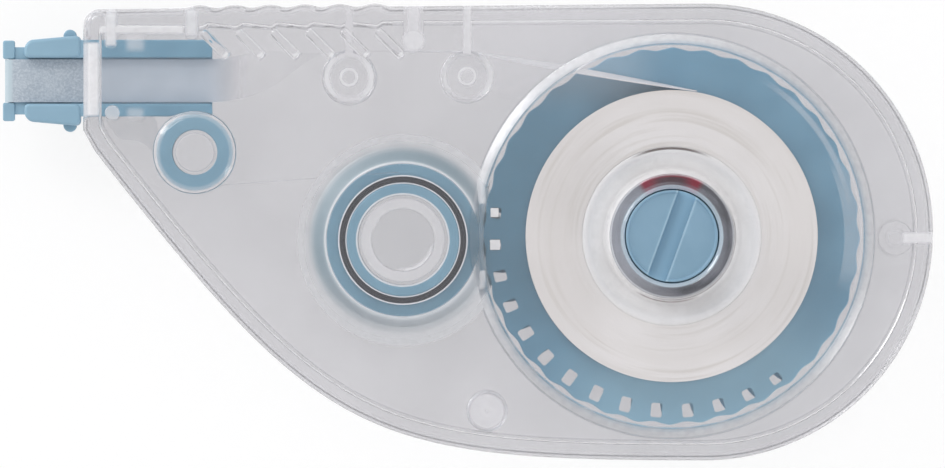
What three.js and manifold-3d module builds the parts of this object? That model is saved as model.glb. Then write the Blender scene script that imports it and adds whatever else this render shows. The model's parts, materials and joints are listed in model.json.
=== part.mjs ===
// A correction tape dispenser lying on its rear face, in millimetres.
// X runs from the applicator tip to the round end, Y towards the grip edge, Z out of the front face.
// The origin is under the middle of the object, on the flat face that it rests on.
import * as THREE from 'three';
import { mergeVertices } from 'three/addons/utils/BufferGeometryUtils.js';
import Module from 'manifold-3d';

const wasm = await Module();
wasm.setup();

// Case
const CASE_THICK = 12.2;
const FACE_WALL = 1.2;
const RIM_WALL = 1.5;
const EDGE_ROUND = 1.0;
const END_RADIUS = 22.35;
const END_X = 23.2;
const NOSE_X = -37.6;
const NOSE_TOP_Y = 21.8;
const NOSE_LOW_Y = 9.35;
const NOSE_CORNER_INSIDE = 0.15;
const BELLY_ANGLE = THREE.MathUtils.degToRad(-52);
const BELLY_NOSE_PULL = 38;
const BELLY_END_PULL = 34;

// Grip
const GRIP_COUNT = 6;
const GRIP_PITCH = 3.42;
const GRIP_START_X = -26.2;
const GRIP_HEIGHT = 0.28;
const GRIP_BAR_LENGTH = 3.6;
const GRIP_BAR_WIDTH = 0.8;
const GRIP_BAR_HEIGHT = 0.5;
const GRIP_BAR_DROP = 3.54;
const GRIP_BAR_ASIDE = 1.51;

// Gears
const GEAR_MODULE = 0.975;
const SUPPLY_TEETH = 36;
const TAKEUP_TEETH = 18;
const PRESSURE_ANGLE = THREE.MathUtils.degToRad(20);
const BACKLASH = 0.24;
const GEAR_FLOOR_GAP = 0.6;
const GEAR_THICK = 2.2;
const WEB_THICK = 0.8;
const GEAR_RIM = 2.6;
const DEDENDUM = 1.25;
const FLANGE_OVER_PITCH = 0.7;

// Reels
const SUPPLY_X = 20;
const SUPPLY_Y = -0.4;
const TAKEUP_BEARING = THREE.MathUtils.degToRad(180.83);
const ROLL_OUTER = 14.3;
const ROLL_INNER = 9.15;
const WINDOW_COUNT = 14;
const WINDOW_MIDDLE = THREE.MathUtils.degToRad(-120.6);
const WINDOW_MARGIN = 0.4;
const WINDOW_LENGTH = 0.75;
const WINDOW_DEEPER = 0.9;
const WINDOW_WIDTH = 1.1;
const SUPPLY_POST = 2.2;
const STUB_HEIGHT = 2.0;
const CLUTCH_SECTION = 0.9;
const SPOOL_LIP = 1.3;
const SPOOL_LIP_RISE = 0.6;
const SPOOL_WEB = 1.0;
const SPOOL_RIM = 0.95;
const HUB_RADIUS = 4.5;
const HUB_RECESS = 0.3;
const HUB_CAP = 2.5;
const SLOT_WIDTH = 1.86;
const SLOT_DEPTH = 1.2;
const SLOT_ANGLE = THREE.MathUtils.degToRad(70);
const TAKEUP_POST = 4.15;
const TAKEUP_POST_WALL = 0.85;
const TAKEUP_CORE_WALL = 1.05;
const USED_FILM_BUILD = 0.55;

// Raised rounds on the front face
const PLATEAU_RISE = 1.0;
const PLATEAU_SLOPE = 1.3;
const SUPPLY_PLATEAU = 19.6;
const TAKEUP_PLATEAU = 9.1;
const ROLLER_PLATEAU = 4.0;
const COLLAR_WALL = 1.2;
const COLLAR_PLAY = 0.4;
const SPIGOT_WALL = 0.8;
const SPIGOT_DEPTH = 0.6;

// Tape
const TAPE_WIDTH = 4.2;
const TAPE_THICK = 0.15;
const TAPE_SIDE_PLAY = 0.15;

// Guides
const GUIDE_Y = 17.7;
const PEG_RADIUS = 0.7;
const PEG_LENGTH = 2.2;
const ROLLER_X = -26.7;
const ROLLER_Y = 7.8;
const ROLLER_POST = 1.9;
const ROLLER_TUBE = 3.1;
const ROLLER_FLANGE = 3.5;
const ROLLER_FLANGE_THICK = 0.35;
const POST_X = -5.3;
const POST_RADIUS = 1.0;
const BOSS_NEAR = { x: -0.05, radius: 2.15 };
const BOSS_FAR = { x: -11.6, radius: 2.25 };
const BOSS_LOW = { x: 1.9, y: -17.55, radius: 1.6 };
const BOSS_END = { x: 41.9, y: -0.6, radius: 2.2 };
const RIB_WIDTH = 0.8;

// Applicator head
const HEAD_REACH = 7.94;
const HEAD_Y = 14.82;
const HEAD_TIP_LENGTH = 1.18;
const HEAD_TIP_HALF = 3.95;
const HEAD_NECK_LENGTH = 0.96;
const HEAD_NECK_HALF = 3.3;
const HEAD_ARM_TIP_HALF = 4.0;
const HEAD_ARM_ROOT_HALF = 4.45;
const HEAD_ARM_HEIGHT = 4.4;
const HEAD_RAIL_UPPER = 4.0;
const HEAD_RAIL_LOWER = 3.5;
const HEAD_RAIL_LENGTH = 12.6;
const HEAD_RAIL_HEIGHT = 2.0;
const BLADE_THICK = 1.0;
const BLADE_TIP_RADIUS = 0.25;
const BLADE_INSET = 0.54;
const BUMP_RADIUS = 0.65;
const BUMP_HEIGHT = 2.0;
const BUMP_X = -38.95;
const ARM_CORNER_X = 0.5;
const ARM_CORNER_Y = 0.6;
const FILM_DIVE = 3;
const FILM_LATE = 0.2;
const TAPE_LEAD_IN = 1.5;
const TIP_SPLIT = 0.3;
const NOSE_RIBS = [
  { x: -34.9, width: 1.43, low: 18.0 },
  { x: -27.0, width: 1.42, low: 18.8 },
];
const NOSE_PIN = { x: -34.75, y: 11.67, radius: 0.7 };

// Clearances, and how far a cutting or joining block goes past the face that it meets
const RUN = 0.3;
const SIDE = 0.2;
const PAST = 1;

// Sides of round pieces, by their size
const LARGE_ROUND = 60;
const ROUND = 36;
const SMALL_ROUND = 16;
const CLUTCH_SIDES = 8;

// Straight steps in curved outlines and in the tape's path
const BELLY_STEPS = 14;
const END_STEPS = 24;
const CORNER_STEPS = 3;
const GRIP_STEPS = 4;
const BLADE_STEPS = 6;
const BEND_STEPS = 4;
const WRAP_STEPS = 6;
const TAPE_STEP = 1.2;
const FILM_STEP = 1.0;
const TAPE_BEND = 2;
const FILM_BEND = 1.4;
const BEND_SHARE = 0.45;
const MITRE_LEAST = 0.5;

// Sizes that follow from the ones above
const GEAR_LOW = FACE_WALL + GEAR_FLOOR_GAP;
const FLANGE_LOW = GEAR_LOW + GEAR_THICK;
const FLANGE_HIGH = FLANGE_LOW + WEB_THICK;
const TAPE_LOW = FLANGE_HIGH + SIDE;
const TAPE_MID = TAPE_LOW + TAPE_WIDTH / 2;
const TAPE_HIGH = TAPE_LOW + TAPE_WIDTH;
const SPLIT_Z = TAPE_MID - RUN;
const FRONT_INSIDE = CASE_THICK - FACE_WALL;
const FRONT_TOP = CASE_THICK + PLATEAU_RISE;
const HUB_TOP = FRONT_TOP - HUB_RECESS;
const SUPPLY_PITCH = (GEAR_MODULE * SUPPLY_TEETH) / 2;
const SUPPLY_FLANGE = SUPPLY_PITCH + FLANGE_OVER_PITCH;
const TAKEUP_PITCH = (GEAR_MODULE * TAKEUP_TEETH) / 2;
const STUB_RADIUS = HUB_RADIUS - CLUTCH_SECTION - RUN;
const CENTRES = SUPPLY_PITCH + TAKEUP_PITCH;
const TAKEUP_X = SUPPLY_X + CENTRES * Math.cos(TAKEUP_BEARING);
const TAKEUP_Y = SUPPLY_Y + CENTRES * Math.sin(TAKEUP_BEARING);
const TAKEUP_BORE = TAKEUP_POST + RUN;
const TAKEUP_CORE = TAKEUP_BORE + TAKEUP_CORE_WALL;
const NOSE_CORNER = RIM_WALL + NOSE_CORNER_INSIDE;
const HEAD_TIP_X = NOSE_X - HEAD_REACH;
const ARM_START_X = HEAD_TIP_X + HEAD_TIP_LENGTH + HEAD_NECK_LENGTH;
const ARM_END_X = NOSE_X - RUN;
const RAIL_END_X = NOSE_X + HEAD_RAIL_LENGTH;
const CHANNEL_HALF = TAPE_WIDTH / 2 + TAPE_SIDE_PLAY;
const BLADE_END_X = NOSE_X + RIM_WALL + SIDE;
const BLADE_TIP_X = HEAD_TIP_X + BLADE_INSET + BLADE_TIP_RADIUS;
const HEAD_TOP = TAPE_MID + HEAD_ARM_HEIGHT / 2;
const HEAD_BOTTOM = TAPE_MID - HEAD_ARM_HEIGHT / 2;

// Looks
const CLEAR_CASE = { color: 0xd9dade, roughness: 0.12, metalness: 0 };
const BLUE = { color: 0x8fb4ca, roughness: 0.38, metalness: 0 };
const BLUE_DEEP = { color: 0x7ba3bd, roughness: 0.42, metalness: 0 };
const WHITE = { color: 0xe9e7e4, roughness: 0.5, metalness: 0 };
const TAPE_WHITE = { color: 0xdcd8d4, roughness: 0.7, metalness: 0 };
const FILM = { color: 0x3c3c44, roughness: 0.2, metalness: 0 };
const RUBBER = { color: 0x8a3142, roughness: 0.8, metalness: 0 };

// Turns a closed surface into a solid, with its faces pointing outwards.
function solidOf(geometry) {
  const plain = geometry.clone();
  plain.deleteAttribute('normal');
  plain.deleteAttribute('uv');
  const welded = mergeVertices(plain, 1e-5);
  const places = welded.attributes.position.array;
  const faces = [];
  for (let i = 0; i < welded.index.count; i += 3) {
    const [a, b, c] = [0, 1, 2].map((k) => welded.index.getX(i + k));
    if (a !== b && b !== c && c !== a) faces.push([a, b, c]);
  }
  const corner = (i) => new THREE.Vector3().fromArray(places, 3 * i);
  const volume = faces.reduce((sum, [a, b, c]) => sum + corner(a).dot(corner(b).cross(corner(c))), 0);
  const order = volume > 0 ? faces : faces.map(([a, b, c]) => [a, c, b]);
  return new wasm.Manifold(
    new wasm.Mesh({ numProp: 3, vertProperties: places, triVerts: new Uint32Array(order.flat()) }),
  );
}

function geometryOf(solid) {
  const mesh = solid.getMesh();
  const geometry = new THREE.BufferGeometry();
  geometry.setAttribute('position', new THREE.BufferAttribute(mesh.vertProperties.slice(), 3));
  geometry.setIndex(new THREE.BufferAttribute(mesh.triVerts.slice(), 1));
  geometry.computeVertexNormals();
  return geometry;
}

function joined(solids) {
  return solids.reduce((whole, solid) => whole.add(solid));
}

function cut(solid, ...tools) {
  return tools.reduce((rest, tool) => rest.subtract(tool), solid);
}

// An upright prism over an outline, from one height to another.
function prism(outline, low, high) {
  const shape = outline instanceof THREE.Shape ? outline : new THREE.Shape(outline);
  const geometry = new THREE.ExtrudeGeometry(shape, { depth: high - low, bevelEnabled: false });
  return solidOf(geometry.translate(0, 0, low));
}

// A round solid about a vertical line, from pairs of radius and height.
function turned(profile, x, y, sides = ROUND) {
  const points = profile.map(([radius, height]) => new THREE.Vector2(radius, height));
  if (profile.every(([radius]) => radius > 0)) points.push(points[0].clone());
  const geometry = new THREE.LatheGeometry(points, sides).rotateX(Math.PI / 2);
  return solidOf(geometry.translate(x, y, 0));
}

function disc(radius, low, high, x, y, sides = ROUND) {
  return turned([[0, low], [radius, low], [radius, high], [0, high]], x, y, sides);
}

function tube(inner, outer, low, high, x, y, sides = ROUND) {
  return turned([[inner, low], [outer, low], [outer, high], [inner, high]], x, y, sides);
}

function cone(lowRadius, highRadius, low, high, x, y, sides = ROUND) {
  return turned([[0, low], [lowRadius, low], [highRadius, high], [0, high]], x, y, sides);
}

function block(x0, x1, y0, y1, z0, z1) {
  const geometry = new THREE.BoxGeometry(x1 - x0, y1 - y0, z1 - z0);
  return solidOf(geometry.translate((x0 + x1) / 2, (y0 + y1) / 2, (z0 + z1) / 2));
}

// A flat bar with square ends, lying at an angle about its middle.
function bar(x, y, length, width, angle, low, high) {
  const geometry = new THREE.BoxGeometry(length, width, high - low).rotateZ(angle);
  return solidOf(geometry.translate(x, y, (low + high) / 2));
}

function part(name, solid, look) {
  const mesh = new THREE.Mesh(geometryOf(solid), new THREE.MeshStandardMaterial(look));
  mesh.name = name;
  return mesh;
}

// Height of the plain top edge, which climbs gently from the nose to the round end.
function topEdge(x) {
  return NOSE_TOP_Y + ((END_RADIUS - NOSE_TOP_Y) * (x - NOSE_X)) / (END_X - NOSE_X);
}

// How far the finger grip stands out of the top edge.
function gripWave(x) {
  const turn = (x - GRIP_START_X) / GRIP_PITCH;
  const inside = turn > -0.5 && turn < GRIP_COUNT - 0.5;
  return inside ? (GRIP_HEIGHT * (1 + Math.cos(2 * Math.PI * turn))) / 2 : 0;
}

// The case seen from the front, anticlockwise from the foot of the nose.
function caseOutline(withGrip) {
  const start = new THREE.Vector2(NOSE_X, NOSE_LOW_Y);
  const end = new THREE.Vector2(END_X, -END_RADIUS);
  const fall = new THREE.Vector2(Math.cos(BELLY_ANGLE), Math.sin(BELLY_ANGLE));
  const belly = new THREE.CubicBezierCurve(
    start, start.clone().addScaledVector(fall, BELLY_NOSE_PULL),
    new THREE.Vector2(END_X - BELLY_END_PULL, -END_RADIUS), end,
  );
  const round = new THREE.EllipseCurve(END_X, 0, END_RADIUS, END_RADIUS, -Math.PI / 2, Math.PI / 2);
  const cornerY = topEdge(NOSE_X) - NOSE_CORNER;
  const corner = new THREE.EllipseCurve(
    NOSE_X + NOSE_CORNER, cornerY, NOSE_CORNER, NOSE_CORNER, Math.PI / 2, Math.PI,
  );
  const grip = Array.from({ length: withGrip ? GRIP_STEPS * GRIP_COUNT + 1 : 0 }, (_, i) => {
    const x = GRIP_START_X + (GRIP_COUNT - 0.5 - i / GRIP_STEPS) * GRIP_PITCH;
    return new THREE.Vector2(x, topEdge(x) + gripWave(x));
  });
  return [
    ...belly.getPoints(BELLY_STEPS), ...round.getPoints(END_STEPS).slice(1), ...grip,
    ...corner.getPoints(CORNER_STEPS),
  ];
}

// An outline moved inwards by the thickness of a wall.
function inset(outline, wall) {
  return outline.map((point, i) => {
    const before = outline[(i + outline.length - 1) % outline.length];
    const after = outline[(i + 1) % outline.length];
    const a = point.clone().sub(before).normalize();
    const b = after.clone().sub(point).normalize();
    const inwards = new THREE.Vector2(-a.y - b.y, a.x + b.x).normalize();
    const stretch = 1 / Math.max(MITRE_LEAST, inwards.dot(new THREE.Vector2(-a.y, a.x)));
    return point.clone().addScaledVector(inwards, wall * stretch);
  });
}

// The whole case as one block with rounded edges, before it is hollowed and split.
function caseBlock() {
  const geometry = new THREE.ExtrudeGeometry(new THREE.Shape(caseOutline(true)), {
    depth: CASE_THICK - 2 * EDGE_ROUND,
    bevelThickness: EDGE_ROUND,
    bevelSize: EDGE_ROUND,
    bevelOffset: -EDGE_ROUND,
    bevelSegments: 2,
  });
  return solidOf(geometry.translate(0, 0, EDGE_ROUND));
}

const PLATEAUS = [
  { x: SUPPLY_X, y: SUPPLY_Y, base: SUPPLY_PLATEAU, rise: PLATEAU_RISE },
  { x: TAKEUP_X, y: TAKEUP_Y, base: TAKEUP_PLATEAU, rise: PLATEAU_RISE },
  { x: ROLLER_X, y: ROLLER_Y, base: ROLLER_PLATEAU, rise: PLATEAU_RISE / 2 },
];

function plateauOutside({ x, y, base, rise }) {
  const top = base - PLATEAU_SLOPE * rise;
  const profile = [[0, FRONT_INSIDE + SIDE], [base, FRONT_INSIDE + SIDE], [base, CASE_THICK],
    [top, CASE_THICK + rise], [0, CASE_THICK + rise]];
  return turned(profile, x, y);
}

function plateauInside({ x, y, base, rise }) {
  const inner = base - FACE_WALL;
  return cone(inner, inner - PLATEAU_SLOPE * rise, FRONT_INSIDE, FRONT_INSIDE + rise, x, y);
}

const BOSSES = [
  { x: BOSS_NEAR.x, y: GUIDE_Y - RUN - BOSS_NEAR.radius, radius: BOSS_NEAR.radius },
  { x: BOSS_FAR.x, y: GUIDE_Y - RUN - BOSS_FAR.radius, radius: BOSS_FAR.radius },
  BOSS_LOW,
  BOSS_END,
];

// Thin ribs that tie the bosses to the rim, clear of the tape's height.
function bossRibs(low, high) {
  const toTop = [BOSSES[0], BOSSES[1]].map(({ x, y, radius }) => (
    block(x - RIB_WIDTH / 2, x + RIB_WIDTH / 2, y + radius / 2, topEdge(x) - RIM_WALL / 2, low, high)
  ));
  const { x, y, radius } = BOSS_END;
  const toEnd = block(
    x + radius / 2, END_X + END_RADIUS - RIM_WALL / 2, y - RIB_WIDTH / 2, y + RIB_WIDTH / 2, low, high,
  );
  return [...toTop, toEnd];
}

// Ribs that come down from the grip edge and hold the rails of the applicator head.
function noseRibs(low, high) {
  return NOSE_RIBS.flatMap(({ x, width, low: foot }) => [
    block(x - width / 2, x + width / 2, foot + width / 2, topEdge(x) - RIM_WALL / 2, low, high),
    disc(width / 2, low, high, x, foot + width / 2, SMALL_ROUND),
  ]);
}

// The finger of plastic that the fresh tape runs under.
function guidePost(low, high) {
  const y = GUIDE_Y + RUN + POST_RADIUS;
  return [
    disc(POST_RADIUS, low, high, POST_X, y, SMALL_ROUND),
    block(POST_X - POST_RADIUS, POST_X + POST_RADIUS, y, topEdge(POST_X) - RIM_WALL / 2, low, high),
  ];
}

function noseOpening() {
  return block(
    NOSE_X - PAST, NOSE_X + RIM_WALL + PAST, HEAD_Y - HEAD_RAIL_LOWER - RUN, HEAD_Y + HEAD_RAIL_UPPER + RUN,
    HEAD_BOTTOM - RUN, HEAD_TOP + RUN,
  );
}

function caseHalf(low, high, insideLow, insideHigh) {
  const plan = caseOutline(false);
  const slab = block(
    NOSE_X - PAST, END_X + END_RADIUS + PAST, -END_RADIUS - PAST, END_RADIUS + PAST, low, high,
  );
  const hollow = prism(inset(plan, RIM_WALL), insideLow, insideHigh);
  return cut(caseBlock().intersect(slab), hollow, noseOpening());
}

function rearCase() {
  const floor = FACE_WALL - SIDE;
  const postTop = HUB_TOP - HUB_CAP - RUN - SIDE;
  const shell = caseHalf(0, SPLIT_Z, FACE_WALL, SPLIT_Z + PAST);
  const pegs = BOSSES.flatMap(({ x, y, radius }) => [
    disc(radius, floor, SPLIT_Z, x, y, SMALL_ROUND),
    disc(PEG_RADIUS, SPLIT_Z - SIDE, SPLIT_Z + PEG_LENGTH, x, y, SMALL_ROUND),
  ]);
  return joined([
    shell,
    ...pegs,
    ...bossRibs(floor, TAPE_LOW - RUN),
    ...noseRibs(floor, SPLIT_Z),
    ...guidePost(floor, SPLIT_Z),
    disc(SUPPLY_POST, floor, postTop, SUPPLY_X, SUPPLY_Y),
    disc(ROLLER_POST, floor, FRONT_INSIDE - RUN, ROLLER_X, ROLLER_Y, SMALL_ROUND),
    tube(TAKEUP_POST - TAKEUP_POST_WALL, TAKEUP_POST, floor, TAPE_HIGH + RUN, TAKEUP_X, TAKEUP_Y),
  ]);
}

// Slanted bars under the waves of the grip.
function gripBars() {
  const bars = [];
  for (let i = 0; i < GRIP_COUNT; i++) {
    const x = GRIP_START_X + i * GRIP_PITCH + GRIP_BAR_ASIDE;
    bars.push(bar(
      x, topEdge(x) - GRIP_BAR_DROP, GRIP_BAR_LENGTH, GRIP_BAR_WIDTH, -Math.PI / 4,
      FRONT_INSIDE + SIDE, CASE_THICK + GRIP_BAR_HEIGHT,
    ));
  }
  return bars;
}

function frontCase() {
  const ceiling = FRONT_INSIDE + SIDE;
  const collarInner = HUB_RADIUS + COLLAR_PLAY;
  const collarOuter = collarInner + COLLAR_WALL;
  const spigot = TAKEUP_POST - TAKEUP_POST_WALL - RUN;
  const shell = joined([
    caseHalf(SPLIT_Z, CASE_THICK, SPLIT_Z - PAST, FRONT_INSIDE),
    ...PLATEAUS.map(plateauOutside),
    ...gripBars(),
  ]);
  const hollowed = cut(shell, ...PLATEAUS.map(plateauInside));
  const sockets = BOSSES.map(({ x, y, radius }) => (
    tube(PEG_RADIUS + RUN, radius, SPLIT_Z, ceiling, x, y, SMALL_ROUND)
  ));
  const furnished = joined([
    hollowed,
    ...sockets,
    ...bossRibs(TAPE_HIGH + RUN, ceiling),
    ...noseRibs(HEAD_TOP + RUN, ceiling),
    ...guidePost(SPLIT_Z, ceiling),
    disc(NOSE_PIN.radius, HEAD_TOP + RUN, ceiling, NOSE_PIN.x, NOSE_PIN.y, SMALL_ROUND),
    disc(collarOuter, TAPE_HIGH + SPOOL_LIP_RISE + RUN, FRONT_TOP, SUPPLY_X, SUPPLY_Y),
    tube(spigot - SPIGOT_WALL, spigot, TAPE_HIGH - SPIGOT_DEPTH, FRONT_TOP - SIDE, TAKEUP_X, TAKEUP_Y),
  ]);
  return cut(furnished, disc(collarInner, SPLIT_Z, FRONT_TOP + PAST, SUPPLY_X, SUPPLY_Y));
}

// Point on an involute, at a radius, turned so that the flank starts at angle zero.
function involuteAngle(base, radius) {
  const roll = Math.sqrt(Math.max(0, (radius / base) ** 2 - 1));
  return roll - Math.atan(roll);
}

// Outline of a spur gear with one tooth pointing along firstTooth.
function gearOutline(teeth, firstTooth) {
  const pitch = (GEAR_MODULE * teeth) / 2;
  const base = pitch * Math.cos(PRESSURE_ANGLE);
  const root = pitch - DEDENDUM * GEAR_MODULE;
  const tip = pitch + GEAR_MODULE;
  const half = (Math.PI * GEAR_MODULE - BACKLASH) / 4 / pitch + involuteAngle(base, pitch);
  const radii = [root, Math.max(root, base), pitch, tip];
  const points = [];
  for (let i = 0; i < teeth; i++) {
    const middle = firstTooth + (2 * Math.PI * i) / teeth;
    const flank = radii.map((radius) => [radius, half - involuteAngle(base, radius)]);
    const sides = [...flank.map(([r, a]) => [r, -a]), ...flank.reverse()];
    sides.forEach(([r, a]) => points.push(
      new THREE.Vector2(r * Math.cos(middle + a), r * Math.sin(middle + a)),
    ));
  }
  return points;
}

function gearRing(teeth, firstTooth, bore, high, x, y) {
  const shape = new THREE.Shape(gearOutline(teeth, firstTooth));
  const wheel = prism(shape, GEAR_LOW, high).translate([x, y, 0]);
  return cut(wheel, disc(bore, GEAR_LOW - PAST, high + PAST, x, y));
}

// See-through windows in the flange, each over a gap between two teeth.
function flangeWindows() {
  const step = (2 * Math.PI) / SUPPLY_TEETH;
  const outer = SUPPLY_FLANGE - WINDOW_MARGIN;
  const windows = [];
  for (let i = 0; i < WINDOW_COUNT; i++) {
    const away = (i - (WINDOW_COUNT - 1) / 2) * step;
    const inner = outer - WINDOW_LENGTH - WINDOW_DEEPER * Math.cos(away);
    const angle = WINDOW_MIDDLE + away;
    const middle = (inner + outer) / 2;
    windows.push(bar(
      SUPPLY_X + middle * Math.cos(angle), SUPPLY_Y + middle * Math.sin(angle),
      outer - inner, WINDOW_WIDTH, angle, FLANGE_LOW - PAST, FLANGE_HIGH + PAST,
    ));
  }
  return windows;
}

function supplyGear() {
  const root = SUPPLY_PITCH - DEDENDUM * GEAR_MODULE;
  const bore = SUPPLY_POST + RUN;
  return cut(
    joined([
      gearRing(SUPPLY_TEETH, WINDOW_MIDDLE, root - GEAR_RIM, FLANGE_LOW, SUPPLY_X, SUPPLY_Y),
      tube(bore, SUPPLY_FLANGE, FLANGE_LOW, FLANGE_HIGH, SUPPLY_X, SUPPLY_Y, LARGE_ROUND),
      tube(bore, STUB_RADIUS, FACE_WALL + RUN, FLANGE_HIGH + STUB_HEIGHT, SUPPLY_X, SUPPLY_Y),
    ]),
    ...flangeWindows(),
  );
}

// The slip clutch: an elastic ring squeezed between the gear's stub and the spool's bore.
function clutchRing() {
  const inner = STUB_RADIUS + RUN;
  const middle = inner + CLUTCH_SECTION / 2;
  const height = FLANGE_HIGH + RUN + CLUTCH_SECTION / 2;
  const profile = [];
  for (let i = 0; i < CLUTCH_SIDES; i++) {
    const angle = (2 * Math.PI * i) / CLUTCH_SIDES;
    profile.push([
      middle + (CLUTCH_SECTION / 2) * Math.cos(angle), height + (CLUTCH_SECTION / 2) * Math.sin(angle),
    ]);
  }
  return turned(profile, SUPPLY_X, SUPPLY_Y, SMALL_ROUND);
}

function tapeSpool() {
  const bore = HUB_RADIUS + RUN;
  const outer = ROLL_INNER - RUN;
  const low = FLANGE_HIGH + RUN;
  return joined([
    tube(bore, bore + SPOOL_LIP, low, TAPE_HIGH + SPOOL_LIP_RISE, SUPPLY_X, SUPPLY_Y),
    tube(bore + SPOOL_LIP - SIDE, outer - SPOOL_RIM + SIDE, TAPE_MID - SPOOL_WEB / 2,
      TAPE_MID + SPOOL_WEB / 2, SUPPLY_X, SUPPLY_Y),
    tube(outer - SPOOL_RIM, outer, low, TAPE_HIGH, SUPPLY_X, SUPPLY_Y),
  ]);
}

function tapeRoll() {
  return tube(ROLL_INNER, ROLL_OUTER, TAPE_LOW, TAPE_HIGH, SUPPLY_X, SUPPLY_Y, LARGE_ROUND);
}

function rewindHub() {
  const capLow = HUB_TOP - HUB_CAP;
  const low = FLANGE_HIGH + STUB_HEIGHT + 2 * SIDE;
  const slot = bar(SUPPLY_X, SUPPLY_Y, 4 * HUB_RADIUS, SLOT_WIDTH, SLOT_ANGLE, HUB_TOP - SLOT_DEPTH,
    HUB_TOP + PAST);
  return cut(
    joined([
      tube(SUPPLY_POST + RUN, HUB_RADIUS, low, capLow + SIDE, SUPPLY_X, SUPPLY_Y),
      disc(HUB_RADIUS, capLow, HUB_TOP, SUPPLY_X, SUPPLY_Y),
    ]),
    slot,
  );
}

function takeupReel() {
  const root = TAKEUP_PITCH - DEDENDUM * GEAR_MODULE;
  const lineOut = Math.atan2(SUPPLY_Y - TAKEUP_Y, SUPPLY_X - TAKEUP_X);
  const step = (2 * Math.PI) / SUPPLY_TEETH;
  const nearest = Math.round((TAKEUP_BEARING - WINDOW_MIDDLE) / step) * step + WINDOW_MIDDLE;
  const gap = lineOut - ((nearest - TAKEUP_BEARING) * SUPPLY_TEETH) / TAKEUP_TEETH;
  const high = FLANGE_LOW - SIDE;
  return joined([
    gearRing(TAKEUP_TEETH, gap + Math.PI / TAKEUP_TEETH, TAKEUP_BORE, high, TAKEUP_X, TAKEUP_Y),
    tube(TAKEUP_BORE, root - SIDE / 2, high, FLANGE_HIGH, TAKEUP_X, TAKEUP_Y),
    tube(TAKEUP_BORE, TAKEUP_CORE, FACE_WALL + RUN, TAPE_HIGH + SIDE / 2, TAKEUP_X, TAKEUP_Y),
  ]);
}

function usedFilmRoll() {
  const inner = TAKEUP_CORE + RUN;
  return tube(inner, inner + USED_FILM_BUILD, TAPE_LOW, TAPE_HIGH, TAKEUP_X, TAKEUP_Y);
}

function guideRoller() {
  const bore = ROLLER_POST + RUN;
  const low = TAPE_LOW - SIDE - ROLLER_FLANGE_THICK;
  const high = TAPE_HIGH + SIDE + ROLLER_FLANGE_THICK;
  const profile = [
    [bore, low], [ROLLER_FLANGE, low], [ROLLER_FLANGE, low + ROLLER_FLANGE_THICK],
    [ROLLER_TUBE, low + ROLLER_FLANGE_THICK], [ROLLER_TUBE, high - ROLLER_FLANGE_THICK],
    [ROLLER_FLANGE, high - ROLLER_FLANGE_THICK], [ROLLER_FLANGE, high], [bore, high],
  ];
  return turned(profile, ROLLER_X, ROLLER_Y);
}

// The blade that the tape folds over, thinning towards its rounded tip, seen from the side.
function headBlade() {
  const half = BLADE_THICK / 2;
  const outline = [new THREE.Vector2(BLADE_END_X, half), new THREE.Vector2(ARM_START_X, half)];
  const nose = new THREE.EllipseCurve(
    BLADE_TIP_X, 0, BLADE_TIP_RADIUS, BLADE_TIP_RADIUS, Math.PI / 2, (3 * Math.PI) / 2,
  );
  outline.push(...nose.getPoints(BLADE_STEPS), new THREE.Vector2(ARM_START_X, -half),
    new THREE.Vector2(BLADE_END_X, -half));
  const width = 2 * HEAD_NECK_HALF;
  const shape = new THREE.Shape(outline);
  const geometry = new THREE.ExtrudeGeometry(shape, { depth: width, bevelEnabled: false });
  geometry.rotateX(Math.PI / 2).translate(0, HEAD_Y + width / 2, TAPE_MID);
  return solidOf(geometry);
}

// One side of the head. The side is 1 towards the grip edge and -1 away from it.
function headArm(side) {
  const at = (x, away) => new THREE.Vector2(x, HEAD_Y + side * away);
  const railEdge = side > 0 ? HEAD_RAIL_UPPER : HEAD_RAIL_LOWER;
  const outline = [
    at(ARM_START_X, CHANNEL_HALF), at(ARM_END_X, CHANNEL_HALF), at(ARM_END_X, HEAD_ARM_ROOT_HALF),
    at(ARM_START_X + ARM_CORNER_X, HEAD_ARM_TIP_HALF), at(ARM_START_X, HEAD_ARM_TIP_HALF - ARM_CORNER_Y),
  ];
  const rail = [
    at(ARM_END_X - PAST, CHANNEL_HALF), at(RAIL_END_X, CHANNEL_HALF), at(RAIL_END_X, railEdge),
    at(ARM_END_X - PAST, railEdge),
  ];
  const slope = (HEAD_ARM_ROOT_HALF - HEAD_ARM_TIP_HALF) / (ARM_END_X - ARM_START_X);
  const bumpY = HEAD_Y + side * (HEAD_ARM_TIP_HALF + slope * (BUMP_X - ARM_START_X));
  const lugY = [HEAD_Y + side * (CHANNEL_HALF + SIDE), HEAD_Y + side * HEAD_TIP_HALF].sort((a, b) => a - b);
  const lug = block(HEAD_TIP_X, HEAD_TIP_X + HEAD_TIP_LENGTH, lugY[0], lugY[1],
    TAPE_MID - BLADE_THICK / 2, TAPE_MID + BLADE_THICK / 2);
  return [
    prism(outline, HEAD_BOTTOM, HEAD_TOP),
    prism(rail, TAPE_MID, TAPE_MID + HEAD_RAIL_HEIGHT),
    disc(BUMP_RADIUS, TAPE_MID - BUMP_HEIGHT / 2, TAPE_MID + BUMP_HEIGHT / 2, BUMP_X, bumpY, SMALL_ROUND),
    lug,
  ];
}

function tapeHead() {
  return joined([headBlade(), ...headArm(1), ...headArm(-1)]);
}

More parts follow.
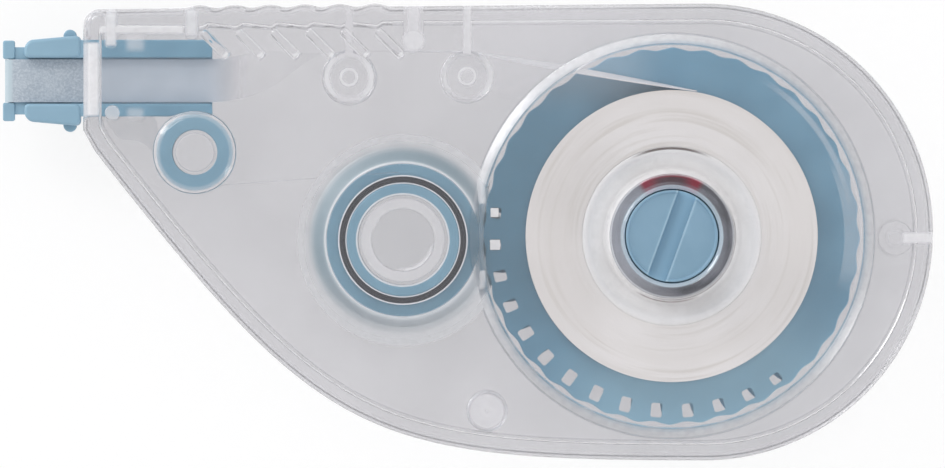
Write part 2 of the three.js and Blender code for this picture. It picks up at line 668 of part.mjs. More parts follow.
// Straight runs between the given points, with each corner rounded off.
function roundedPath(points, reach) {
  const path = [points[0].clone()];
  for (let i = 1; i < points.length - 1; i++) {
    const before = points[i].distanceTo(points[i - 1]);
    const after = points[i].distanceTo(points[i + 1]);
    const room = Math.min(reach, BEND_SHARE * before, BEND_SHARE * after);
    const enter = points[i].clone().lerp(points[i - 1], room / before);
    const leave = points[i].clone().lerp(points[i + 1], room / after);
    path.push(...new THREE.QuadraticBezierCurve3(enter, points[i], leave).getPoints(BEND_STEPS));
  }
  path.push(points.at(-1).clone());
  return path;
}

// Adds points to the long straight stretches, so that a twist is spread along them.
function refined(path, longest) {
  return path.flatMap((point, i) => {
    if (i === 0) return [point];
    const count = Math.ceil(point.distanceTo(path[i - 1]) / longest);
    return Array.from({ length: count }, (_, k) => path[i - 1].clone().lerp(point, (k + 1) / count));
  });
}

// A flat ribbon along a path. The function twist gives its angle at each place: 0 stands it on edge
// and a quarter turn lays it flat.
function ribbon(path, twist) {
  const corners = path.map((point, i) => {
    const ahead = path[Math.min(i + 1, path.length - 1)];
    const behind = path[Math.max(i - 1, 0)];
    const along = ahead.clone().sub(behind).normalize();
    const level = new THREE.Vector3(0, 0, 1).cross(along).normalize();
    const upright = along.clone().cross(level);
    const angle = twist(point);
    const width = upright.multiplyScalar(Math.cos(angle)).addScaledVector(level, Math.sin(angle));
    const out = along.clone().cross(width);
    const at = (w, t) => point.clone().addScaledVector(width, (w * TAPE_WIDTH) / 2)
      .addScaledVector(out, (t * TAPE_THICK) / 2);
    return [at(-1, -1), at(1, -1), at(1, 1), at(-1, 1)];
  });
  const places = corners.flat().flatMap((corner) => corner.toArray());
  const faces = [0, 1, 2, 0, 2, 3];
  for (let i = 0; i < path.length - 1; i++) {
    for (let k = 0; k < 4; k++) {
      const [a, b] = [4 * i + k, 4 * i + ((k + 1) % 4)];
      faces.push(a, a + 4, b + 4, a, b + 4, b);
    }
  }
  const last = 4 * (path.length - 1);
  faces.push(last, last + 2, last + 1, last, last + 3, last + 2);
  const geometry = new THREE.BufferGeometry();
  geometry.setAttribute('position', new THREE.Float32BufferAttribute(places, 3));
  geometry.setIndex(faces);
  return solidOf(geometry);
}

// A quarter twist from standing on edge to lying flat between two places along one axis.
function twistAlong(axis, stand, flat) {
  return (point) => (
    (-Math.PI / 2) * THREE.MathUtils.smoothstep((point[axis] - stand) / (flat - stand), 0, 1)
  );
}

// Where a straight run from a point meets a circle, on the side given by 1 or -1.
function tangentPoint(x, y, radius, from, side) {
  const away = Math.atan2(from.y - y, from.x - x);
  const reach = Math.hypot(from.x - x, from.y - y);
  const angle = away + side * Math.acos(radius / reach);
  return new THREE.Vector3(x + radius * Math.cos(angle), y + radius * Math.sin(angle), TAPE_MID);
}

// Half turn of the tape round the tip of the blade, between two angles in the XZ plane.
function tipTurn(from, to) {
  const radius = BLADE_TIP_RADIUS + SIDE + TAPE_THICK / 2;
  return Array.from({ length: BEND_STEPS + 1 }, (_, i) => {
    const angle = from + ((to - from) * i) / BEND_STEPS;
    return new THREE.Vector3(
      BLADE_TIP_X - radius * Math.sin(angle), HEAD_Y, TAPE_MID + radius * Math.cos(angle),
    );
  });
}

function freshTapeRun() {
  const above = BLADE_THICK / 2 + SIDE + TAPE_THICK / 2;
  const overBoss = new THREE.Vector3(BOSS_NEAR.x, GUIDE_Y, TAPE_MID);
  const leaves = tangentPoint(SUPPLY_X, SUPPLY_Y, ROLL_OUTER + RUN, overBoss, -1);
  const twistStart = new THREE.Vector3(BOSS_FAR.x - BOSS_FAR.radius, GUIDE_Y, TAPE_MID);
  const enters = new THREE.Vector3(RAIL_END_X + TAPE_LEAD_IN, HEAD_Y, TAPE_MID + above);
  const turn = tipTurn(0, Math.PI / 2 - TIP_SPLIT);
  const path = refined(roundedPath([
    leaves,
    overBoss,
    twistStart,
    enters,
    new THREE.Vector3(ARM_START_X, HEAD_Y, TAPE_MID + above),
    turn[0],
  ], TAPE_BEND), TAPE_STEP);
  path.push(...turn.slice(1));
  return ribbon(path, twistAlong('x', twistStart.x, enters.x));
}

// Points on the guide roller, where the used film wraps round its lower left side.
function rollerWrap(from, to, radius) {
  return Array.from({ length: WRAP_STEPS + 1 }, (_, i) => {
    const angle = from + ((to - from) * i) / WRAP_STEPS;
    return new THREE.Vector3(
      ROLLER_X + radius * Math.cos(angle), ROLLER_Y + radius * Math.sin(angle), TAPE_MID,
    );
  });
}

function usedFilmRun() {
  const below = BLADE_THICK / 2 + SIDE + TAPE_THICK / 2;
  const wrap = ROLLER_TUBE + SIDE + TAPE_THICK / 2;
  const roll = TAKEUP_CORE + RUN + USED_FILM_BUILD + RUN;
  const leavesBlade = new THREE.Vector3(BLADE_END_X + SIDE, HEAD_Y, TAPE_MID - below);
  const underRail = new THREE.Vector3(
    BLADE_END_X + FILM_DIVE, HEAD_Y - HEAD_RAIL_LOWER, TAPE_LOW + SIDE,
  );
  const meets = tangentPoint(ROLLER_X, ROLLER_Y, wrap, underRail, 1);
  const straight = TAPE_WIDTH / 2 + SIDE;
  const steady = meets.clone().lerp(underRail, straight / meets.distanceTo(underRail)).setZ(TAPE_MID);
  const bearing = Math.atan2(TAKEUP_Y - ROLLER_Y, TAKEUP_X - ROLLER_X);
  const span = Math.hypot(TAKEUP_Y - ROLLER_Y, TAKEUP_X - ROLLER_X);
  const heading = bearing + Math.asin((wrap + roll) / span);
  const first = Math.atan2(meets.y - ROLLER_Y, meets.x - ROLLER_X) + 2 * Math.PI;
  const turn = rollerWrap(first, heading + (3 * Math.PI) / 2, wrap);
  const arrives = new THREE.Vector3(
    TAKEUP_X - roll * Math.sin(heading), TAKEUP_Y + roll * Math.cos(heading), TAPE_MID,
  );
  const start = tipTurn(Math.PI / 2 + TIP_SPLIT, Math.PI);
  const toRoller = refined(roundedPath([
    start.at(-1),
    new THREE.Vector3(ARM_START_X, HEAD_Y, TAPE_MID - below),
    leavesBlade,
    underRail,
    steady,
    meets,
  ], FILM_BEND), FILM_STEP);
  const path = [...start.slice(0, -1), ...toRoller, ...turn.slice(1), arrives];
  return ribbon(path, twistAlong('y', steady.y, underRail.y - FILM_LATE));
}

const model = new THREE.Group();
model.add(
  part('rear_case', rearCase(), CLEAR_CASE),
  part('front_case', frontCase(), CLEAR_CASE),
  part('tape_head', tapeHead(), BLUE),
  part('guide_roller', guideRoller(), BLUE_DEEP),
  part('supply_gear', supplyGear(), BLUE_DEEP),
  part('clutch_ring', clutchRing(), RUBBER),
  part('tape_spool', tapeSpool(), WHITE),
  part('tape_roll', tapeRoll(), TAPE_WHITE),
  part('rewind_hub', rewindHub(), BLUE),
  part('takeup_reel', takeupReel(), BLUE_DEEP),
  part('used_film_roll', usedFilmRoll(), FILM),
  part('fresh_tape_run', freshTapeRun(), TAPE_WHITE),
  part('used_film_run', usedFilmRun(), FILM),
);

export default model;
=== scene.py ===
"""The looks of a correction tape dispenser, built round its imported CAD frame.

Lengths are in millimetres until a mesh is made, and MM turns them into metres.
"""
import functools
import json
import math

import bmesh
import bpy
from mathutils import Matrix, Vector


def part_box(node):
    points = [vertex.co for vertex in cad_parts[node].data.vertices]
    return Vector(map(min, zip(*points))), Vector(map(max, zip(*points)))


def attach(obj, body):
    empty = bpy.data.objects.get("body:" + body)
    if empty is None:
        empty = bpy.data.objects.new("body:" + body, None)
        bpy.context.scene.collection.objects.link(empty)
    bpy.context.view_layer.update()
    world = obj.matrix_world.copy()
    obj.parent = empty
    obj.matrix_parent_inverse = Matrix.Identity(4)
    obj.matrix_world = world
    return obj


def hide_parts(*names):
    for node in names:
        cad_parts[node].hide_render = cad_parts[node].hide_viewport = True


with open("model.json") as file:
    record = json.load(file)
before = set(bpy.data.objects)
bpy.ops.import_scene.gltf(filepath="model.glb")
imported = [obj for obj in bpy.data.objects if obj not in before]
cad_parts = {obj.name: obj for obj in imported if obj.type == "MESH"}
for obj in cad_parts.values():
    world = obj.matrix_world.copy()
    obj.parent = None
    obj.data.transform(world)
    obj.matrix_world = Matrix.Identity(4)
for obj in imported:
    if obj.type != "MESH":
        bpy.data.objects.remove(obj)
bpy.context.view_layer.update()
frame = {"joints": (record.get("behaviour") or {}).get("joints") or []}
MM = 0.001


def joint_at(name):
    found = next(j for j in frame["joints"] if j["name"] == name)
    return Vector(found["pos_m"]) / MM


def box(node):
    low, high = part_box(node)
    return low / MM, high / MM


# Places and sizes that come from the frame
SUPPLY = joint_at("supply_spin")
TAKEUP = joint_at("takeup_spin")
ROLLER = joint_at("roller_spin")
REAR_LOW, REAR_HIGH = box("rear_case")
FRONT_LOW, FRONT_HIGH = box("front_case")
HEAD_LOW, HEAD_HIGH = box("tape_head")
ROLL_LOW, ROLL_HIGH = box("tape_roll")
SPOOL_LOW, SPOOL_HIGH = box("tape_spool")
HUB_LOW, HUB_HIGH = box("rewind_hub")
FILM_LOW, FILM_HIGH = box("used_film_roll")
WHEEL_LOW, WHEEL_HIGH = box("guide_roller")
CLUTCH_LOW, CLUTCH_HIGH = box("clutch_ring")

# Case
FACE_WALL = 1.2
RIM_WALL = 1.5
EDGE_ROUND = 1.0
END_RADIUS = -REAR_LOW.y
END_X = REAR_HIGH.x - END_RADIUS
NOSE_X = REAR_LOW.x
NOSE_TOP_Y = 21.8
NOSE_LOW_Y = 9.35
NOSE_CORNER = 1.65
BELLY_ANGLE = math.radians(-52)
BELLY_NOSE_PULL = 38
BELLY_END_PULL = 34
SPLIT_Z = FRONT_LOW.z
PLATEAU_RISE = 1.0
CASE_THICK = FRONT_HIGH.z - PLATEAU_RISE

# Clearances: between moving pieces, beside fixed ones, and where the two shells meet
RUN = 0.3
SIDE = 0.2
SPLIT_GAP = 0.02

# Reels and their posts
SPOOL_RADIUS = (SPOOL_HIGH.x - SPOOL_LOW.x) / 2
HUB_RADIUS = (HUB_HIGH.x - HUB_LOW.x) / 2
ROLL_OUTER = (ROLL_HIGH.x - ROLL_LOW.x) / 2
ROLL_INNER = 9.15
FILM_OUTER = (FILM_HIGH.x - FILM_LOW.x) / 2
SUPPLY_POST = 2.2
ROLLER_POST = 1.9
TAKEUP_POST = 4.15
TAKEUP_CORE = TAKEUP_POST + RUN + 1.05
CLUTCH_STUB = (CLUTCH_HIGH.x - CLUTCH_LOW.x) / 2 - (CLUTCH_HIGH.z - CLUTCH_LOW.z) - RUN
HUB_CAP = 2.5
COLLAR_WALL = 1.6
SLOT_WIDTH = 1.86
SLOT_DEPTH = 1.2
SLOT_ANGLE = math.radians(70)

# Gears: both lie at one height, with a flange on top
GEAR_MODULE = 0.975
PRESSURE_ANGLE = math.radians(20)
BACKLASH = 0.24
DEDENDUM = 1.25
SUPPLY_TEETH = 36
TAKEUP_TEETH = 18
GEAR_FOOT = FACE_WALL + 0.6
FLANGE_FOOT = GEAR_FOOT + 2.2
FLANGE_THICK = 0.8
WINDOW_COUNT = 14
WINDOW_WIDTH = 1.1
WINDOW_MIDDLE = math.radians(-120.6)
WINDOW_STEP = math.radians(10.286)


def split_large_faces(mesh):
    made = bmesh.new()
    made.from_mesh(mesh)
    large = [face for face in made.faces if len(face.verts) > 4]
    bmesh.ops.triangulate(made, faces=large)
    made.to_mesh(mesh)
    made.free()


def mesh_object(name, points, faces):
    mesh = bpy.data.meshes.new(name)
    mesh.from_pydata([Vector(p) * MM for p in points], [], faces)
    split_large_faces(mesh)
    made = bpy.data.objects.new(name, mesh)
    bpy.context.scene.collection.objects.link(made)
    return made


def stack(name, rings, closed=False):
    """Joins rings of points into a solid. A closed one joins its last ring to its first, and has no caps."""
    count = len(rings[0])
    points = [p for ring in rings for p in ring]
    faces = []
    steps = len(rings) if closed else len(rings) - 1
    for i in range(steps):
        a = i * count
        b = ((i + 1) % len(rings)) * count
        for k in range(count):
            n = (k + 1) % count
            faces.append((a + k, a + n, b + n, b + k))
    if not closed:
        faces.append(tuple(reversed(range(count))))
        faces.append(tuple(range(len(points) - count, len(points))))
    return mesh_object(name, points, faces)


def softened(points, radius, steps=4, closed=False):
    """A polyline with its corners rounded off."""
    made = []
    count = len(points)
    for i, here in enumerate(points):
        if not closed and i in (0, count - 1):
            made.append(Vector(here))
            continue
        here = Vector(here)
        before = Vector(points[i - 1])
        after = Vector(points[(i + 1) % count])
        room = min(radius, (before - here).length * 0.45, (after - here).length * 0.45)
        enter = here + (before - here).normalized() * room
        leave = here + (after - here).normalized() * room
        for k in range(steps + 1):
            t = k / steps
            made.append(enter.lerp(here, t).lerp(here.lerp(leave, t), t))
    return made


def polar(centre, radius, angle):
    return Vector((centre[0] + radius * math.cos(angle), centre[1] + radius * math.sin(angle)))


def full_turn(count, start=0.0):
    return [start + 2 * math.pi * k / count for k in range(count)]


def lathe(name, profile, centre, sides=128, closed=False):
    """A round solid about a vertical line, from pairs of radius and height that go up outside."""
    rings = [[(*polar(centre, r, t), z) for t in full_turn(sides)] for r, z in profile]
    return stack(name, rings, closed)


def tube(name, inner, outer, low, high, centre, edge=0.12, sides=128):
    corners = [(inner, low), (outer, low), (outer, high), (inner, high)]
    return lathe(name, softened(corners, edge, closed=True), centre, sides, closed=True)


def disc(name, radius, low, high, centre, edge=0.1, sides=64):
    corners = [(radius / 2, low), (radius, low), (radius, high), (radius / 2, high)]
    return lathe(name, softened(corners, edge), centre, sides)


def inset(outline, wall):
    """An anticlockwise outline moved inwards."""
    made = []
    for i, point in enumerate(outline):
        a = (point - outline[i - 1]).normalized()
        b = (outline[(i + 1) % len(outline)] - point).normalized()
        inwards = Vector((-a.y - b.y, a.x + b.x)).normalized()
        stretch = 1 / max(0.5, inwards.dot(Vector((-a.y, a.x))))
        made.append(point + inwards * wall * stretch)
    return made


def eased_levels(start, end, start_edge, end_edge, steps):
    """Pairs of inset and place from start to end, which round off both edges of a prism."""
    up = 1 if end > start else -1
    turns = [math.pi / 2 * k / steps for k in range(steps + 1)]
    levels = [(start_edge * 1.1, start)]
    levels += [(start_edge * (1 - math.sin(t)), start + up * start_edge * (1 - math.cos(t))) for t in turns]
    levels += [(end_edge * (1 - math.cos(t)), end - up * end_edge * (1 - math.sin(t))) for t in turns]
    return levels + [(end_edge * 1.1, end)]


def slab(name, outline, low, high, edge=0.1, upper_edge=None, steps=4):
    """An upright prism over an outline, with its lower and upper edges rounded."""
    levels = eased_levels(low, high, edge, edge if upper_edge is None else upper_edge, steps)
    outline = [Vector(p) for p in outline]
    return stack(name, [[(p.x, p.y, z) for p in inset(outline, wall)] for wall, z in levels])


def plain_slab(name, outline, low, high):
    rings = [[(p[0], p[1], z) for p in outline] for z in (low, high)]
    return stack(name, rings)


def block(name, x0, x1, y0, y1, z0, z1, edge=0.0):
    corners = [Vector((x0, y0)), Vector((x1, y0)), Vector((x1, y1)), Vector((x0, y1))]
    if edge:
        return slab(name, softened(corners, edge, closed=True), z0, z1, edge * 0.5)
    return plain_slab(name, corners, z0, z1)


def bar(name, middle, length, width, angle, low, high, corner=0.2, edge=0.08):
    """A slab with rounded corners, whose length lies along an angle."""
    along = Vector((math.cos(angle), math.sin(angle)))
    aside = Vector((-along.y, along.x))
    signs = [(-1, -1), (1, -1), (1, 1), (-1, 1)]
    outline = [middle + along * a * length / 2 + aside * b * width / 2 for a, b in signs]
    return slab(name, softened(outline, corner, closed=True), low, high, edge)


def settle(made):
    """Applies an object's modifiers to its mesh."""
    bpy.context.view_layer.update()
    graph = bpy.context.evaluated_depsgraph_get()
    mesh = bpy.data.meshes.new_from_object(made.evaluated_get(graph))
    made.modifiers.clear()
    made.data = mesh
    return made


def combined(base, tools, operation):
    for tool in tools:
        change = base.modifiers.new(operation.lower(), "BOOLEAN")
        change.operation = operation
        change.solver = "MANIFOLD"
        change.object = tool
    settle(base)
    for tool in tools:
        bpy.data.objects.remove(tool)
    return base


def joined(base, tools):
    return combined(base, tools, "UNION")


def cut(base, tools):
    return combined(base, tools, "DIFFERENCE")


def piece(made, body, node, looks, sharp=32):
    """Gives a finished solid its shading and material, sets it on its body, and hides the CAD part that it
    stands for.
    """
    made.data.shade_smooth()
    made.data.set_sharp_from_angle(angle=math.radians(sharp))
    flat = made.modifiers.new("flat faces", "WEIGHTED_NORMAL")
    flat.keep_sharp = True
    flat.weight = 90
    settle(made)
    made.data.materials.clear()
    made.data.materials.append(looks.material)
    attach(made, body)
    if node:
        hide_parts(node)
    return made


def top_edge(x):
    return NOSE_TOP_Y + (END_RADIUS - NOSE_TOP_Y) * (x - NOSE_X) / (END_X - NOSE_X)


# Grip
GRIP_COUNT = 6
GRIP_PITCH = 3.42
GRIP_START_X = -26.2
GRIP_HEIGHT = 0.28
GRIP_BAR_LENGTH = 3.6
GRIP_BAR_WIDTH = 0.92
GRIP_BAR_HEIGHT = 0.5
GRIP_BAR_DROP = 3.54
GRIP_BAR_ASIDE = 1.51

# Raised rounds on the front face: centre, radius at the foot, height, width of the slope
SUPPLY_PLATEAU = (SUPPLY, 19.75, PLATEAU_RISE, 0.95)
TAKEUP_PLATEAU = (TAKEUP, 9.1, PLATEAU_RISE, 1.5)
ROLLER_PLATEAU = (ROLLER, 4.0, PLATEAU_RISE / 2, 0.65)
PLATEAUS = (SUPPLY_PLATEAU, TAKEUP_PLATEAU, ROLLER_PLATEAU)

# Tape and its guides
TAPE_LOW = ROLL_LOW.z
TAPE_HIGH = ROLL_HIGH.z
TAPE_MID = (TAPE_LOW + TAPE_HIGH) / 2
TAPE_WIDTH = TAPE_HIGH - TAPE_LOW
TAPE_THICK = 0.12
TAPE_GAP = SIDE + 0.15 / 2
GUIDE_Y = 17.7
# Bosses: x, y and radius. The tape runs over the first two
BOSSES = (
    (-0.05, GUIDE_Y - RUN - 2.15, 2.15),
    (-11.6, GUIDE_Y - RUN - 2.25, 2.25),
    (1.9, -17.55, 1.6),
    (41.9, -0.6, 1.6),
)
POST_X = -5.3
POST_RADIUS = 1.0
RIB_WIDTH = 0.8
RIB_INSET = 0.7
PEG_RADIUS = 0.7

# Applicator head
HEAD_Y = 14.82
HEAD_TIP_X = HEAD_LOW.x
HEAD_TIP_LENGTH = 1.18
HEAD_TIP_HALF = 3.95
HEAD_NECK_LENGTH = 0.96
HEAD_NECK_HALF = 3.3
ARM_TIP_HALF = 4.0
ARM_ROOT_HALF = 4.45
RAIL_UPPER = 4.0
RAIL_LOWER = 3.5
RAIL_HEIGHT = 2.0
RAIL_END_X = HEAD_HIGH.x
ARM_START_X = HEAD_TIP_X + HEAD_TIP_LENGTH + HEAD_NECK_LENGTH
ARM_END_X = NOSE_X - RUN
CHANNEL_HALF = TAPE_WIDTH / 2 + 0.15
BLADE_THICK = 1.0
BLADE_TIP_RADIUS = 0.25
BLADE_TIP_X = HEAD_TIP_X + 0.54 + BLADE_TIP_RADIUS
BLADE_END_X = NOSE_X + RIM_WALL + SIDE
BUMP_X = -38.95
BUMP_RADIUS = 0.65
NOSE_RIBS = ((-34.9, 1.43, 18.0), (-27.0, 1.42, 18.8))
NOSE_PIN = (-34.75, 11.67, 0.7)


def grip_wave(x):
    turn = (x - GRIP_START_X) / GRIP_PITCH
    if not -0.5 < turn < GRIP_COUNT - 0.5:
        return 0.0
    return GRIP_HEIGHT * (1 + math.cos(2 * math.pi * turn)) / 2


def bezier(a, b, c, d, steps):
    made = []
    for k in range(steps + 1):
        t = k / steps
        s = 1 - t
        made.append(a * s**3 + b * 3 * s * s * t + c * 3 * s * t * t + d * t**3)
    return made


def arc(x, y, radius, start, end, steps):
    return [polar((x, y), radius, start + (end - start) * k / steps) for k in range(steps + 1)]


def flared(name, radius, foot, top, centre, bore=0.0, flare=0.45):
    """A moulded boss or socket that widens in a hollow curve where it meets the wall at foot."""
    up = 1 if top > foot else -1
    inner = bore or radius / 2
    draft = 0.12
    outside = [(radius + draft + flare, foot), (radius + draft, foot + up * flare), (radius, top)]
    profile = [(inner, foot)] + outside + [(inner, top)]
    bent = softened([Vector(p) for p in profile[1:-1]], 0.3, 5)
    rings = [Vector(profile[0])] + bent + [Vector(profile[-1])]
    if up < 0:
        rings = rings[::-1]
    return lathe(name, rings, centre, 72, closed=bool(bore))


def foot_flare(x):
    """The boss in the round end meets the walls with almost no fillet."""
    return 0.1 if x > SUPPLY.x else 0.45


def case_outline(with_grip=True, corner_radius=NOSE_CORNER):
    """The case seen from the front, anticlockwise from the foot of the nose."""
    foot = Vector((NOSE_X, NOSE_LOW_Y))
    fall = Vector((math.cos(BELLY_ANGLE), math.sin(BELLY_ANGLE)))
    end = Vector((END_X, -END_RADIUS))
    pull = Vector((END_X - BELLY_END_PULL, -END_RADIUS))
    belly = bezier(foot, foot + fall * BELLY_NOSE_PULL, pull, end, 60)
    quarter = math.pi / 2
    round_end = arc(END_X, 0, END_RADIUS, -quarter, quarter, 96)
    corner_y = top_edge(NOSE_X) - corner_radius
    corner = arc(NOSE_X + corner_radius, corner_y, corner_radius, quarter, 2 * quarter, 10)
    steps = 12
    grip = []
    for k in range(GRIP_COUNT * steps + 1 if with_grip else 0):
        x = GRIP_START_X + (GRIP_COUNT - 0.5 - k / steps) * GRIP_PITCH
        grip.append(Vector((x, top_edge(x) + grip_wave(x))))
    nose = [Vector((NOSE_X, NOSE_LOW_Y + 0.6))]
    return belly[1:] + round_end[1:] + grip + corner + nose


def plateau(centre, foot, rise, slope, top_z, low):
    """The outside of a raised round, with a hollow at its foot and a round at its shoulder."""
    top = foot - slope
    profile = [(top / 2, low), (foot + 0.35, low), (foot + 0.35, top_z + 0.002), (foot, top_z + 0.002)]
    profile += [(top, top_z + rise), (top / 2, top_z + rise)]
    bent = softened([Vector(p) for p in profile[2:]], min(0.35, slope * 0.24), 6)
    return lathe("plateau", [Vector(p) for p in profile[:2]] + bent, centre, 192)


def plateau_hollow(centre, foot, rise, slope, ceiling):
    """The inside of a raised round. Its slope lies straight under the one outside."""
    inner = foot - 0.05
    profile = [(inner / 2, ceiling - 1), (inner, ceiling - 1), (inner, ceiling)]
    profile += [(inner - slope, ceiling + rise), (inner / 2, ceiling + rise)]
    return lathe("hollow", softened([Vector(p) for p in profile], 0.25, 5), centre, 192)


def hollow_outline():
    """The inside of the rim, with a small step where each grip bar begins."""
    walls = inset(case_outline(False, NOSE_CORNER + 0.6), RIM_WALL)
    spot = next(i for i, p in enumerate(walls) if p.x > 0 and p.y > 0 and walls[i + 1].x < POST_X)
    steps = []
    for k in reversed(range(GRIP_COUNT)):
        x = GRIP_START_X + 0.45 + k * GRIP_PITCH
        y = top_edge(x) - RIM_WALL
        steps += [Vector((x + 0.35, y + 0.1)), Vector((x - 0.3, y - 0.25))]
    return walls[:spot + 1] + steps + walls[spot + 1:]


def case_hollow(low, high, floor_round, ceiling_round):
    walls = hollow_outline()
    return slab("hollow", walls, low, high, floor_round, ceiling_round, 5)


def nose_opening():
    y0 = HEAD_Y - RAIL_LOWER - RUN
    y1 = HEAD_Y + RAIL_UPPER + RUN
    z0 = HEAD_LOW.z - RUN
    z1 = HEAD_HIGH.z + RUN
    return block("opening", NOSE_X - 1, NOSE_X + RIM_WALL + 1, y0, y1, z0, z1)


def boss_ribs(low, high):
    made = []
    for x, y, radius in BOSSES[:2]:
        end = top_edge(x) - RIB_INSET
        made.append(block("rib", x - RIB_WIDTH / 2, x + RIB_WIDTH / 2, y + radius / 2, end, low, high))
    x, y, radius = BOSSES[3]
    end = REAR_HIGH.x - RIB_INSET
    made.append(block("rib", x + radius / 2, end, y - RIB_WIDTH / 2, y + RIB_WIDTH / 2, low, high))
    return made


def finger(x, width, foot, low, high):
    """A rib that comes down from the grip edge and ends in a half round."""
    half = width / 2
    top = top_edge(x) - RIB_INSET
    end = arc(x, foot + half, half, math.pi, 2 * math.pi, 12)
    return slab("finger", end + [Vector((x + half, top)), Vector((x - half, top))], low, high, 0.05)


def nose_ribs(low, high):
    return [finger(x, width, foot, low, high) for x, width, foot in NOSE_RIBS]


def guide_post(low, high):
    return finger(POST_X, 2 * POST_RADIUS, GUIDE_Y + RUN, low, high)


def grip_bars():
    made = []
    for k in range(GRIP_COUNT):
        x = GRIP_START_X + k * GRIP_PITCH + GRIP_BAR_ASIDE
        middle = Vector((x, top_edge(x) - GRIP_BAR_DROP))
        made.append(bar("bar", middle, GRIP_BAR_LENGTH, GRIP_BAR_WIDTH, -math.pi / 4,
                        CASE_THICK - 1, CASE_THICK + GRIP_BAR_HEIGHT, 0.44, 0.28))
    return made


def build_front_case(looks):
    """The shell half that faces up, with its raised rounds, grip bars and sockets, and a bore for the collar
    round the hub.
    """
    ceiling = CASE_THICK - FACE_WALL
    shell = slab("front_shell", case_outline(), SPLIT_Z + SPLIT_GAP, CASE_THICK, 0.04, EDGE_ROUND, 8)
    cut(shell, [case_hollow(SPLIT_Z - 1, ceiling, 0.1, 0.5), nose_opening()])
    raised = [plateau(c, foot, rise, slope, CASE_THICK, ceiling + 0.1) for c, foot, rise, slope in PLATEAUS]
    joined(shell, raised + grip_bars())
    cut(shell, [plateau_hollow(c, foot, rise, slope, ceiling) for c, foot, rise, slope in PLATEAUS])
    inside = ceiling + SIDE
    split = SPLIT_Z + SPLIT_GAP
    bore = PEG_RADIUS + RUN
    sockets = [flared("socket", r, inside, split, (x, y), bore, foot_flare(x)) for x, y, r in BOSSES]
    fitted = sockets + boss_ribs(TAPE_HIGH + RUN, inside) + nose_ribs(HEAD_HIGH.z + RUN, inside)
    fitted.append(guide_post(SPLIT_Z + SPLIT_GAP, inside))
    fitted.append(disc("pin", NOSE_PIN[2], HEAD_HIGH.z + RUN, inside, NOSE_PIN[:2]))
    fitted.append(disc("spigot", 3.05, TAPE_HIGH + RUN + 0.05, CASE_THICK + 0.1, TAKEUP, 0.08, 128))
    joined(shell, fitted)
    cut(shell, [disc("bore", HUB_RADIUS + COLLAR_WALL, SPLIT_Z, FRONT_HIGH.z + 1, SUPPLY, sides=128)])
    return piece(shell, "root", "front_case", looks)


def build_hub_collar(looks):
    """The collar of the front shell round the rewinding hub."""
    inner = HUB_RADIUS + 0.12
    outer = HUB_RADIUS + COLLAR_WALL
    low = SPOOL_HIGH.z + RUN
    high = FRONT_HIGH.z
    corners = [(inner, low), (outer, low), (outer, high), (HUB_RADIUS + 0.55, high), (inner, high - 0.4)]
    collar = lathe("hub_collar", softened(corners, 0.2, closed=True), SUPPLY, 160, closed=True)
    return piece(collar, "root", None, looks)


def build_rear_case(looks):
    """The shell half that the object rests on, with its posts and pegs."""
    floor = FACE_WALL - 0.1
    shell = slab("rear_shell", case_outline(), 0, SPLIT_Z - SPLIT_GAP, EDGE_ROUND, 0.04, 8)
    cut(shell, [case_hollow(FACE_WALL, SPLIT_Z + 1, 0.5, 0.1), nose_opening()])
    top = SPLIT_Z - SPLIT_GAP
    pegs = []
    for x, y, radius in BOSSES:
        pegs.append(flared("boss", radius, floor, top, (x, y), flare=foot_flare(x)))
        pegs.append(disc("peg", PEG_RADIUS, top - 0.5, SPLIT_Z + 2.2, (x, y), 0.2, 48))
    fitted = pegs + boss_ribs(floor, TAPE_LOW - RUN) + nose_ribs(floor, top)
    fitted.append(guide_post(floor, top))
    fitted.append(disc("post", SUPPLY_POST, floor, HUB_HIGH.z - HUB_CAP - RUN - SIDE, SUPPLY, 0.2, 96))
    fitted.append(disc("post", ROLLER_POST, floor, CASE_THICK - FACE_WALL - RUN, ROLLER, 0.2, 96))
    fitted.append(disc("post", TAKEUP_POST, floor, TAPE_HIGH + RUN, TAKEUP, 0.1, 128))
    joined(shell, fitted)
    return piece(shell, "root", "rear_case", looks)


def involute(base, radius):
    roll = math.sqrt(max(0.0, (radius / base) ** 2 - 1))
    return roll - math.atan(roll)


def gear_radii(teeth):
    pitch = GEAR_MODULE * teeth / 2
    return pitch, pitch - DEDENDUM * GEAR_MODULE


def gear_outline(teeth, first_tooth, centre):
    """A spur gear with one tooth pointing along first_tooth, and its corners eased."""
    pitch, root = gear_radii(teeth)
    base = pitch * math.cos(PRESSURE_ANGLE)
    tip = pitch + GEAR_MODULE
    half = (math.pi * GEAR_MODULE - BACKLASH) / 4 / pitch + involute(base, pitch)
    radii = [root, max(root, base), (pitch + base) / 2, pitch, (pitch + tip) / 2, tip]
    flank = [(r, half - involute(base, r)) for r in radii]
    points = []
    for middle in full_turn(teeth, first_tooth):
        points += [polar(centre, r, middle - a) for r, a in flank]
        points += [polar(centre, r, middle + a) for r, a in flank[::-1]]
    return softened(points, 0.12, 2, closed=True)


def gear_wheel(teeth, first_tooth, low, high, centre, bore):
    wheel = plain_slab("wheel", gear_outline(teeth, first_tooth, centre), low, high)
    return cut(wheel, [disc("bore", bore, low - 1, high + 1, centre, sides=96)])


def flange_windows(flange, low, high):
    outer = flange - 0.4
    made = []
    for k in range(WINDOW_COUNT):
        away = (k - (WINDOW_COUNT - 1) / 2) * WINDOW_STEP
        inner = outer - 0.65 - 0.85 * math.cos(away)
        angle = WINDOW_MIDDLE + away
        middle = polar(SUPPLY, (inner + outer) / 2, angle)
        made.append(bar("window", middle, outer - inner, WINDOW_WIDTH, angle, low, high, 0.25, 0.02))
    return made


